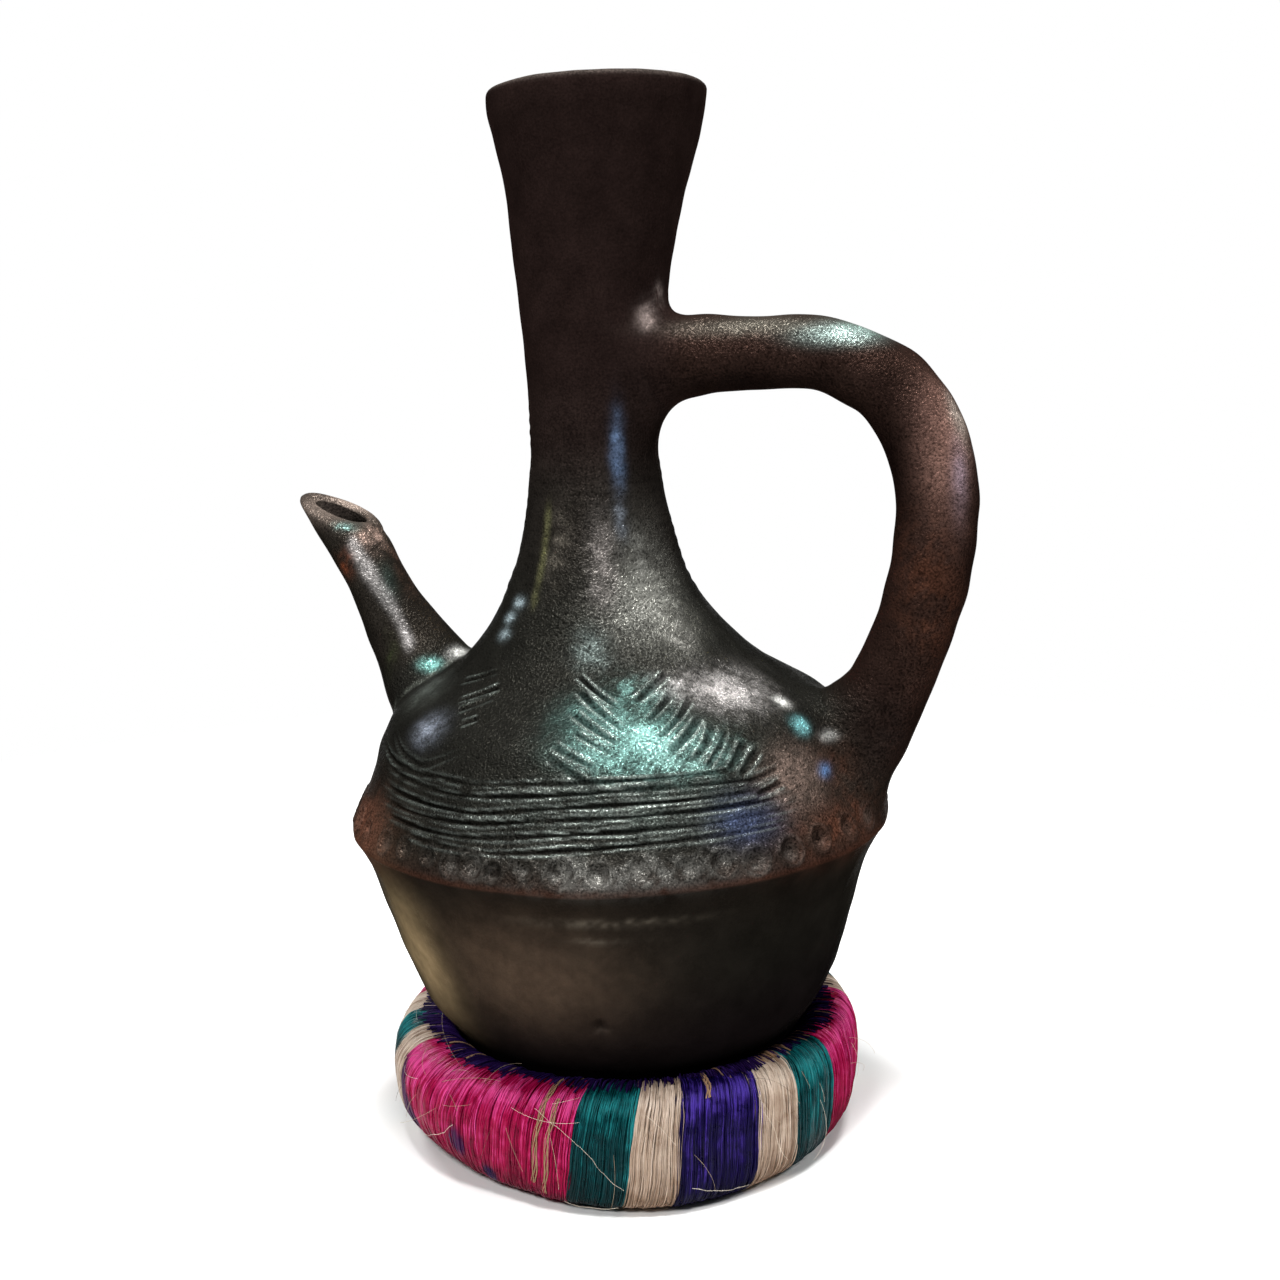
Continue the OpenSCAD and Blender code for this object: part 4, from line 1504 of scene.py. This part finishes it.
def fibre_tree() -> GeometryTree:
    """Tree that turns guide lines into round fibres of uneven thickness.

    Returns:
        The tree, with inputs for radius, its spread, sides, wander, seed and material.
    """
    made = GeometryTree("bound_fibres", {
        "Radius": "Float", "Radius Spread": "Float", "Sides": "Int", "Wander": "Float", "Seed": "Int",
        "Material": "Material",
    })
    bench = made.bench
    given = bench.add("NodeGroupInput").outputs
    ripple = bench.add("ShaderNodeTexNoise")
    bench.feed(ripple.inputs["Vector"], bench.add("GeometryNodeInputPosition").outputs[0])
    ripple.inputs["Scale"].default_value = 180.0
    centred = bench.add("ShaderNodeVectorMath", operation="SUBTRACT")
    bench.feed(centred.inputs[0], ripple.outputs["Color"])
    centred.inputs[1].default_value = (0.5, 0.5, 0.5)
    move = bench.add("GeometryNodeSetPosition")
    bench.feed(move.inputs["Geometry"], given["Geometry"])
    bench.feed(move.inputs["Offset"], bench.dim(centred.outputs[0], given["Wander"]))
    curve = bench.add("GeometryNodeMeshToCurve")
    bench.feed(curve.inputs["Mesh"], move.outputs[0])
    strand = bench.add("GeometryNodeInputNamedAttribute", data_type="INT")
    strand.inputs["Name"].default_value = "strand"
    chance = bench.add("FunctionNodeRandomValue", data_type="FLOAT")
    bench.feed(chance.inputs[2], bench.math("SUBTRACT", 1.0, given["Radius Spread"]))
    bench.feed(chance.inputs[3], bench.math("ADD", 1.0, given["Radius Spread"]))
    bench.feed(chance.inputs["ID"], strand.outputs[0])
    bench.feed(chance.inputs["Seed"], given["Seed"])
    thick = bench.math("MULTIPLY", given["Radius"], chance.outputs[1])
    made.close(made.tube(curve.outputs[0], given["Sides"], thick), given["Material"])
    return made


def hair_tree() -> GeometryTree:
    """Tree that scatters loose bent hairs over a surface.

    Returns:
        The tree, with inputs for density, length, radius, seed and material.
    """
    made = GeometryTree("loose_hairs", {
        "Density": "Float", "Length": "Float", "Radius": "Float", "Seed": "Int", "Material": "Material",
    })
    bench = made.bench
    given = bench.add("NodeGroupInput").outputs
    scatter = bench.add("GeometryNodeDistributePointsOnFaces")
    bench.feed(scatter.inputs["Mesh"], given["Geometry"])
    bench.feed(scatter.inputs["Density"], given["Density"])
    bench.feed(scatter.inputs["Seed"], given["Seed"])
    hair = bench.add("GeometryNodeCurveQuadraticBezier")
    hair.inputs["Resolution"].default_value = 9
    bend = {"Start": (0.0, 0.0, -0.02), "Middle": (0.5, 0.12, 0.34), "End": (1.0, -0.1, 0.12)}
    for name, at in bend.items():
        hair.inputs[name].default_value = at
    twist = bench.add("FunctionNodeRandomValue", data_type="FLOAT_VECTOR")
    twist.inputs[0].default_value = (-0.25, -0.5, 0.0)
    twist.inputs[1].default_value = (0.25, 0.25, 2 * math.pi)
    bench.feed(twist.inputs["Seed"], given["Seed"])
    turned = bench.add("FunctionNodeEulerToRotation")
    bench.feed(turned.inputs[0], twist.outputs[0])
    both = bench.add("FunctionNodeRotateRotation", rotation_space="LOCAL")
    bench.feed(both.inputs[0], scatter.outputs["Rotation"])
    bench.feed(both.inputs[1], turned.outputs[0])
    reach = bench.add("FunctionNodeRandomValue", data_type="FLOAT")
    bench.feed(reach.inputs[2], bench.math("MULTIPLY", given["Length"], 0.35))
    bench.feed(reach.inputs[3], bench.math("MULTIPLY", given["Length"], 1.5))
    bench.feed(reach.inputs["Seed"], bench.math("ADD", given["Seed"], 3))
    sown = bench.add("GeometryNodeInstanceOnPoints")
    bench.feed(sown.inputs["Points"], scatter.outputs["Points"])
    bench.feed(sown.inputs["Instance"], hair.outputs[0])
    bench.feed(sown.inputs["Rotation"], both.outputs[0])
    bench.feed(sown.inputs["Scale"], reach.outputs[1])
    tone = bench.add("FunctionNodeRandomValue", data_type="FLOAT")
    bench.feed(tone.inputs["Seed"], bench.math("ADD", given["Seed"], 7))
    store = bench.add("GeometryNodeStoreNamedAttribute", data_type="FLOAT", domain="INSTANCE")
    store.inputs["Name"].default_value = "shade"
    bench.feed(store.inputs["Geometry"], sown.outputs[0])
    bench.feed(store.inputs["Value"], tone.outputs[1])
    loose = bench.add("GeometryNodeRealizeInstances")
    bench.feed(loose.inputs["Geometry"], store.outputs[0])
    made.close(made.tube(loose.outputs[0], 3, given["Radius"]), given["Material"])
    return made


@dataclass
class Guides:
    """Guide lines for fibres, gathered one by one."""

    lines: list[Array] = field(default_factory=list)
    shades: list[Array] = field(default_factory=list)
    stains: list[Array] = field(default_factory=list)
    odds: list[Array] = field(default_factory=list)

    def put(
        self, line: Array, shade: Array | float, stain: Optional[Array] = None, odd: float = 0.0
    ) -> None:
        """Add one guide line.

        Args:
            line: Points of the line.
            shade: Tone of the fibre or of each point, 0 deep to 1 pale.
            stain: Share of another dye at each point, or none.
            odd: 1 for a raw strand among dyed ones.
        """
        n = len(line)
        self.lines.append(line)
        self.shades.append(np.broadcast_to(shade, n))
        self.stains.append(np.zeros(n) if stain is None else stain)
        self.odds.append(np.full(n, odd))

    def build(self, name: str) -> Piece:
        """Write the guides as an object of loose edges with their values.

        Args:
            name: Name of the piece.

        Returns:
            The new object, at the origin.
        """
        lengths = [len(line) for line in self.lines]
        ends = np.cumsum(lengths)
        first = np.setdiff1d(np.arange(ends[-1]), ends - 1)
        mesh = bpy.data.meshes.new(name)
        points = np.concatenate(self.lines) * MM
        mesh.from_pydata(points.tolist(), np.stack([first, first + 1], axis=1).tolist(), [])
        for layer, values in {"shade": self.shades, "stain": self.stains, "odd": self.odds}.items():
            paint(mesh, layer, np.concatenate(values))
        strand = mesh.attributes.new("strand", "INT", "POINT")
        strand.data.foreach_set("value", np.repeat(np.arange(len(lengths)), lengths).astype(np.int32))
        piece = bpy.data.objects.new(name, mesh)
        bpy.context.scene.collection.objects.link(piece)
        return piece


@dataclass(frozen=True)
class Block:
    """One dyed block of the ring, between two turns at the middle of its height."""

    node: str
    dye: Dye
    start: float
    end: float


@dataclass
class RingStand:
    """The ring: grass core, wound fibre blocks, edge binding and loose hairs.

    Blocks follow each other round the ring from the first turn, each named by its dye and
    place and given by the turn that it ends at. An odd strand is its block, the turn of its
    middle, half its width, where it starts and ends round the roll, and its shade. A stain
    is its turn and height with half its width and height. A stray strand runs from one turn
    and angle round the roll to another. A region is its middle and width, in turns that are
    counted from behind. Fibre, hair and strand are radii, and the hairs' density is for a
    square metre.
    """

    middle: float = 56.0
    centre: float = 15.0
    table_gap: float = 0.3
    half_width: float = 8.45
    half_height: float = 14.65
    square: float = 2.6
    slant: float = 12.0
    spacing: float = 0.155
    fibre: float = 0.175
    binding_step: float = 0.32
    binding_fibre: float = 0.22
    hair_density: float = 9000.0
    hair_length: float = 12.0
    hair: float = 0.04
    strand: float = 0.05
    wander: float = 0.6
    bundle_chance: float = 0.1
    bundle_lift: float = 0.045
    bundle_tone: float = 0.07
    bundle_sway: float = 0.24
    flare: float = 2.8
    bulge: float = 2.6
    left_region: tuple[float, float] = (126.0, 38.0)
    right_region: tuple[float, float] = (245.0, 36.0)
    front_region: tuple[float, float] = (186.0, 36.0)
    first_turn: float = -69.5
    block_ends: Sequence[tuple[str, float]] = (
        ("magenta_left", -24.1), ("magenta_front", -14.2), ("teal_front", -0.8),
        ("natural_front", 9.6), ("purple_front", 28.8), ("natural_right", 39.8), ("teal_right", 54.8),
        ("magenta_right", 89.2), ("natural_back_1", 101.2), ("teal_back_1", 113.2),
        ("purple_back_1", 131.2), ("natural_back_2", 143.2), ("magenta_back_1", 173.2),
        ("teal_back_2", 185.2), ("natural_back_3", 197.2), ("purple_back_2", 215.2),
        ("natural_back_4", 227.2), ("magenta_back_2", 257.2), ("natural_back_5", 270.0),
        ("teal_left", 281.5), ("natural_left", 290.5),
    )
    odd_strands: Sequence[tuple[str, float, float, float, float, float]] = (
        ("wrap_magenta_front", -22.0, 0.5, 100, -25, 0.3), ("wrap_magenta_front", -19.3, 0.35, 60, -40, 1.0),
        ("wrap_purple_front", 16.0, 0.4, 100, 52, 0.6),
    )
    stains: Sequence[tuple[float, float, float, float]] = (
        (-43.4, 12.5, 1.8, 3.2), (-66.0, 11.0, 4.5, 5.0), (-68.5, 20.0, 3.5, 5.0), (-36.0, 5.0, 1.6, 2.4),
    )
    strays: Sequence[tuple[float, float, float, float]] = (
        (-22.3, 42, -2.5, -18), (-15.7, -44, -3.8, -46), (-57.7, -30, -43.0, 6), (12.0, -20, 26.0, -40),
        (3.0, 40, 9.0, 8), (30.0, 20, 36.0, -25),
    )

    def __post_init__(self) -> None:
        """Lay the blocks end to end."""
        starts = [self.first_turn, *(end for _, end in self.block_ends)]
        self.blocks = [
            Block(f"wrap_{name}", Dye(name.split("_")[0]), start, end)
            for start, (name, end) in zip(starts, self.block_ends)
        ]

    @staticmethod
    def near(turn: Array, middle: float, width: float) -> Array:
        """Share of a soft region round the ring at turns."""
        return np.exp(-(((np.mod(turn + 180, 360) - middle) / width) ** 2))

    @staticmethod
    def squared(v: Array, square: Array) -> Array:
        """Sine or cosine bent towards a square section."""
        return np.sign(v) * np.abs(v) ** (2 / square)

    @staticmethod
    def turns(count: int) -> Array:
        """Even turns once round the ring."""
        return np.linspace(-70, 290, count, endpoint=False)

    def at(self, turn: Array, round_: Array, out: Array) -> Array:
        """Points round the roll.

        Args:
            turn: Turn round the pot's axis.
            round_: Angle round the roll's section, 0 outside, 90 on top.
            out: Distance out from the roll's even section.

        Returns:
            The points, none of them below the table.
        """
        a, t = np.radians(round_), np.radians(turn)
        left, right = self.near(turn, *self.left_region), self.near(turn, *self.right_region)
        square = np.where(np.sin(a) < 0, 3.3 - 1.45 * left - 1.15 * right, self.square)
        lump = 0.55 * np.sin(3 * t + 0.6) + 0.4 * np.sin(7 * t + 2.0) + 0.25 * np.sin(13 * t + 2 * a)
        lump = lump + self.bulge * left * np.clip(1 + 0.9 * np.sin(a), 0, 1.2)
        lump = lump * np.clip(np.cos(a) + 0.15, 0, 1)
        low = self.flare * (0.4 + 1.3 * self.near(turn, *self.front_region)) * (1 - left) * (1 - right)
        low = low * np.clip(0.15 - np.sin(a), 0, 1) * (np.cos(a) > 0)
        r = self.middle + (self.half_width + out + lump + low) * self.squared(np.cos(a), square)
        z = self.centre + (self.half_height + out) * self.squared(np.sin(a), square)
        w = facing(turn)
        return np.stack([r * np.cos(w), r * np.sin(w), np.maximum(z, self.table_gap)], axis=-1)

    def stained(self, turn: Array, line: Array) -> Array:
        """Share of dark dye that has run into the fibre.

        Args:
            turn: Turns at the points of a line.
            line: The points.

        Returns:
            The share at each point.
        """
        out = np.zeros(len(line))
        for at, height, wide, tall in self.stains:
            here = np.exp(-(((turn - at) / wide) ** 2) - ((line[:, 2] - height) / tall) ** 2)
            out = np.maximum(out, here)
        return np.clip(3.6 * out - 0.4, 0, 1)

    def wind(self, block: Block, tree: GeometryTree, material: Material, seed: int) -> None:
        """Wind one block of fibre round the roll.

        Args:
            block: The block to wind.
            tree: Tree that grows the fibres.
            material: Finish of the block's dye.
            seed: Start of the block's random numbers.
        """
        rng = np.random.default_rng(seed)
        width = block.end - block.start
        count = int(math.radians(width) * (self.middle + self.half_width) / self.spacing)
        round_ = np.linspace(-186, 174, 55)
        angle = np.radians(round_)
        # Painted sheen on the roll's top bend and painted shade on its lower half, added to each fibre's
        # shade
        sheen_and_shade = 0.37 * np.exp(-(((round_ - 54) / 19) ** 2)) - 0.62 * ease(-round_, -10.0, 60.0)
        guides = Guides()
        bundle_of = np.cumsum(rng.uniform(size=count) < self.bundle_chance)
        bundles = bundle_of.max() + 1
        lift = rng.normal(0, self.bundle_lift, bundles)
        tone = rng.normal(0, self.bundle_tone, bundles)
        sway = rng.normal(0, self.bundle_sway, bundles)
        phase = rng.uniform(0, WHOLE_TURN, bundles)
        for i in range(count):
            b = bundle_of[i]
            members = np.flatnonzero(bundle_of == b)
            across = 2 * (i - members[0] + 0.5) / len(members) - 1
            ragged = 0.7 if i < 3 or i > count - 4 else 0.25
            base = block.start + width * (i + 0.5) / count + rng.normal(0, ragged * 0.4)
            turn = base + self.slant * round_ / 360 + sway[b] * np.sin(angle * 1.5 + phase[b])
            turn = turn + rng.normal(0, 0.25) * np.sin(angle * 2.3 + rng.uniform(0, WHOLE_TURN))
            out = lift[b] + 0.14 * (1 - across * across) - 0.1 + rng.normal(0, 0.06)
            out = out + 0.08 * np.sin(angle * 5 + rng.uniform(0, WHOLE_TURN))
            line = self.at(turn, round_, out)
            shade = np.clip(0.5 + tone[b] + rng.normal(0, 0.16) + sheen_and_shade, 0, 1)
            stain = self.stained(turn, line) * float(block.dye is Dye.MAGENTA) * rng.uniform(0.75, 1.0)
            guides.put(line, shade, stain)
        self.lay_odd_strands(block, guides)
        piece = guides.build(block.node.replace("wrap", "fibre"))
        tree.grow(
            piece, Radius=self.fibre * MM, Radius_Spread=0.35, Sides=3, Wander=self.wander * MM, Seed=seed,
            Material=material,
        )
        hand_over(piece, "ring_stand", block.node)

    def lay_odd_strands(self, block: Block, guides: Guides) -> None:
        """Weave the raw strands of a block in among its dyed ones.

        Args:
            block: The block.
            guides: Guide lines of its fibres, which take the strands.
        """
        for node, middle, half, first, last, shade in self.odd_strands:
            if node != block.node:
                continue
            part = np.linspace(first, last, 24)
            for wide in np.linspace(-half, half, 5):
                weave = np.sin(np.radians(part) * 9 + 3 * wide / half)
                turn = middle + wide + 0.3 * weave + self.slant * part / 360
                guides.put(self.at(turn, part, 0.35 + 0.15 * weave), shade, None, 1.0)

    def dye_at(self, turn: float) -> Dye:
        """Dye of the block at a turn, natural where no block has begun."""
        return next((b.dye for b in self.blocks if b.start <= turn <= b.end), Dye.NATURAL)

    def build_core(self, material: Material, tones: dict[Dye, FibreFinish]) -> None:
        """Make the stained grass core that shows between the fibres.

        Args:
            material: Finish of the grass.
            tones: Finishes of the dyes that stain it.
        """
        turn = self.turns(480)
        round_ = np.linspace(0, 360, 40, endpoint=False)
        columns = [self.at(turn, np.full(len(turn), r - 360 * (r > 180)), -0.55) for r in round_]
        piece = RingSkin(np.stack(columns, axis=1)[:, ::-1], True).build("ring_core_skin")
        dyes = np.array([tones[self.dye_at(t)].main for t in turn])
        paint(piece.data, "tint", np.repeat(dyes, len(round_), axis=0))
        piece.data.materials.append(material)
        hand_over(piece, "ring_stand", "ring_core")

    def build_binding(self, tree: GeometryTree, material: Material) -> None:
        """Make the ragged dark binding along the inner upper edge.

        Args:
            tree: Tree that grows the fibres.
            material: Finish of the binding.
        """
        rng = np.random.default_rng(77)
        guides = Guides()
        share = np.linspace(0, 1, 15)
        for base in np.arange(0, 360, self.binding_step):
            base = base + FACING + rng.normal(0, 0.4)
            first = rng.normal(87, 4) + 4 * math.sin(math.radians(base) * 9)
            round_ = np.linspace(first, rng.uniform(165, 178), len(share))
            turn = base + self.slant * round_ / 360 + rng.normal(0, 1.2) * share
            out = 0.35 + rng.normal(0, 0.15) + 0.25 * np.sin(np.linspace(0, math.pi, len(share)))
            raw = 1.0 if 33 < base < 46 and rng.uniform() < 0.5 or rng.uniform() < 0.05 else 0.0
            shade = float(np.clip(rng.normal(0.4, 0.2), 0, 1))
            guides.put(self.at(turn, round_, out), shade, None, raw)
        piece = guides.build("edge_binding_fibres")
        tree.grow(
            piece, Radius=self.binding_fibre * MM, Radius_Spread=0.4, Sides=3, Wander=0.0012, Seed=9,
            Material=material,
        )
        hand_over(piece, "ring_stand", "edge_binding")

    def build_hairs(self, fibres: GeometryTree, hairs: GeometryTree, material: Material) -> None:
        """Make the loose hairs on the ring and a few long strands that lie across it.

        Args:
            fibres: Tree that grows the long strands.
            hairs: Tree that grows the hairs.
            material: Finish of both.
        """
        turn = self.turns(180)
        round_ = np.linspace(0, 75, 8)
        grid = np.stack([self.at(turn, np.full(len(turn), r), 0.1) for r in round_], axis=0)
        short = RingSkin(grid).build("loose_hairs")
        hairs.grow(
            short, Density=self.hair_density, Length=self.hair_length * MM, Radius=self.hair * MM, Seed=4,
            Material=material,
        )
        guides = Guides()
        share = np.linspace(0, 1, 30)
        for a, b, c, d in self.strays:
            out = 0.75 + 0.5 * np.sin(math.pi * share)
            guides.put(self.at(a + (c - a) * share, b + (d - b) * share, out), 0.9)
        long = guides.build("long_strands")
        fibres.grow(
            long, Radius=self.strand * MM, Radius_Spread=0.2, Sides=4, Wander=0.0015, Seed=2,
            Material=material,
        )
        for piece in (short, long):
            hand_over(piece, "ring_stand")

    def build(self) -> None:
        """Make all pieces of the ring."""
        tones = {
            Dye.MAGENTA: FibreFinish(
                "magenta_fibre", (0.13, 0.0015, 0.019), (0.35, 0.0025, 0.054), (0.74, 0.07, 0.3)
            ),
            Dye.TEAL: FibreFinish(
                "teal_fibre", (0.0005, 0.011, 0.013), (0.0008, 0.04, 0.045), (0.012, 0.2, 0.212)
            ),
            Dye.NATURAL: FibreFinish(
                "natural_fibre", (0.24, 0.155, 0.105), (0.45, 0.34, 0.26), (0.70, 0.58, 0.48)
            ),
            Dye.PURPLE: FibreFinish(
                "purple_fibre", (0.0025, 0.0013, 0.017), (0.006, 0.0024, 0.047), (0.075, 0.038, 0.35)
            ),
        }
        edge = FibreFinish("edge_fibre", (0.006, 0.002, 0.02), (0.018, 0.006, 0.06), (0.05, 0.025, 0.16))
        hair = FibreFinish("hair_fibre", (0.05, 0.035, 0.03), (0.5, 0.38, 0.26), (0.8, 0.72, 0.6))
        fibres, hairs = fibre_tree(), hair_tree()
        finishes = {dye: tone.material() for dye, tone in tones.items()}
        self.build_core(BedFinish().material(), tones)
        for i, block in enumerate(self.blocks):
            self.wind(block, fibres, finishes[block.dye], 100 + i)
        self.build_binding(fibres, edge.material())
        self.build_hairs(fibres, hairs, hair.material())


@dataclass(frozen=True)
class Lamp:
    """A soft lamp, placed by turn and elevation round the middle of the pot."""

    name: str
    turn: float
    rise: float
    far: float
    size: float
    power: float


@dataclass
class Studio:
    """Floor, white surroundings, lamps and camera, in metres and degrees."""

    eye: tuple[float, float, float] = (0.1443, -0.3966, 0.208)
    down: float = 10.13
    roll: float = 2.06
    lens: float = 44.27
    sensor: float = 36.0
    nearest: float = 0.01
    shift: float = 0.019
    aim: tuple[float, float, float] = (0.0, 0.0, 0.13)
    dim: float = 0.15
    room: float = 3.0
    wall: float = 1.7
    sides: int = 96
    lamps: Sequence[Lamp] = (
        Lamp("ceiling", 0.0, 78.0, 0.9, 0.3, 13.0),
        Lamp("front_left", -28.0, 42.0, 1.0, 0.26, 6.0),
        Lamp("right_side", 84.0, 34.0, 1.0, 0.26, 4.0),
        Lamp("back_right", 143.0, 44.0, 1.0, 0.26, 5.5),
        Lamp("back_left", -136.0, 32.0, 1.0, 0.26, 4.0),
    )

    def edge(self, height: float) -> list[tuple[float, float, float]]:
        """Points along the floor's edge, at a height over it."""
        around = np.linspace(0, 2 * math.pi, self.sides, endpoint=False)
        return [(self.room * math.cos(a), self.room * math.sin(a), height) for a in around]

    @staticmethod
    def put(name: str, points: list, faces: list, finish: FloorFinish) -> None:
        """Add a part of the stage.

        Args:
            name: Name of the part.
            points: Its points.
            faces: Its faces, as lists of points.
            finish: Its finish.
        """
        mesh = bpy.data.meshes.new(name)
        mesh.from_pydata(points, [], faces)
        mesh.materials.append(finish.material())
        part = bpy.data.objects.new(name, mesh)
        bpy.context.scene.collection.objects.link(part)

    def build_floor(self) -> None:
        """Lay the pale floor."""
        self.put("floor", self.edge(0.0), [list(range(self.sides))], FloorFinish())

    def build_world(self) -> None:
        """Surround the scene with dim even light."""
        world = bpy.context.scene.world or bpy.data.worlds.new("dim")
        bpy.context.scene.world = world
        world.use_nodes = True
        world.node_tree.nodes.clear()
        bench = NodeBench(world.node_tree)
        back = bench.add("ShaderNodeBackground")
        back.inputs["Color"].default_value = (1.0, 1.0, 1.0, 1.0)
        back.inputs["Strength"].default_value = self.dim
        bench.feed(bench.add("ShaderNodeOutputWorld").inputs["Surface"], back.outputs[0])

    def build_backdrop(self) -> None:
        """Stand the white wall along the floor's edge."""
        here = np.arange(self.sides)
        beside = np.roll(here, -1)
        quads = np.stack([here, beside, beside + self.sides, here + self.sides], axis=1).tolist()
        white = FloorFinish("white_backdrop", near=0.0, far=0.01)
        self.put("backdrop", self.edge(0.0) + self.edge(self.wall), quads, white)

    def build_lamps(self) -> None:
        """Hang the lamps, each turned to the pot."""
        for lamp in self.lamps:
            light = bpy.data.lights.new(lamp.name, "AREA")
            light.shape = "DISK"
            light.size, light.energy = lamp.size, lamp.power
            hung = bpy.data.objects.new(lamp.name, light)
            a, e = float(facing(lamp.turn)), math.radians(lamp.rise)
            way = Vector((math.cos(a) * math.cos(e), math.sin(a) * math.cos(e), math.sin(e)))
            hung.location = Vector(self.aim) + way * lamp.far
            hung.rotation_euler = way.to_track_quat("Z", "Y").to_euler()
            hung.visible_camera = False
            bpy.context.scene.collection.objects.link(hung)

    def build_camera(self) -> None:
        """Set the camera where the photograph was taken from."""
        data = bpy.data.cameras.new("camera")
        data.lens, data.sensor_width, data.shift_x = self.lens, self.sensor, self.shift
        data.clip_start = self.nearest
        down, roll = math.radians(self.down), math.radians(self.roll)
        level = math.cos(down)
        ahead = Vector((-math.sin(RIGHT) * level, math.cos(RIGHT) * level, -math.sin(down)))
        right = Vector((math.cos(RIGHT), math.sin(RIGHT), 0.0))
        up = right.cross(ahead)
        across = right * math.cos(roll) - up * math.sin(roll)
        upward = up * math.cos(roll) + right * math.sin(roll)
        camera = bpy.data.objects.new("camera", data)
        turned = Matrix((across, upward, -ahead)).transposed().to_4x4()
        camera.matrix_world = Matrix.Translation(self.eye) @ turned
        bpy.context.scene.collection.objects.link(camera)
        bpy.context.scene.camera = camera

    def build(self) -> None:
        """Make the whole studio."""
        bpy.context.scene.view_settings.view_transform = "Standard"
        self.build_camera()
        self.build_world()
        self.build_backdrop()
        self.build_lamps()
        self.build_floor()


def main() -> None:
    """Build the studio, the ring and the pot."""
    logging.basicConfig(level=logging.INFO, format="%(message)s")
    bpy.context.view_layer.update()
    Studio().build()
    RingStand().build()
    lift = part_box("base_bowl")[0][2] / MM
    ClayPot(lift, ClayFinish().material()).build()
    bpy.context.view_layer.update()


if __name__ == "__main__":
    main()
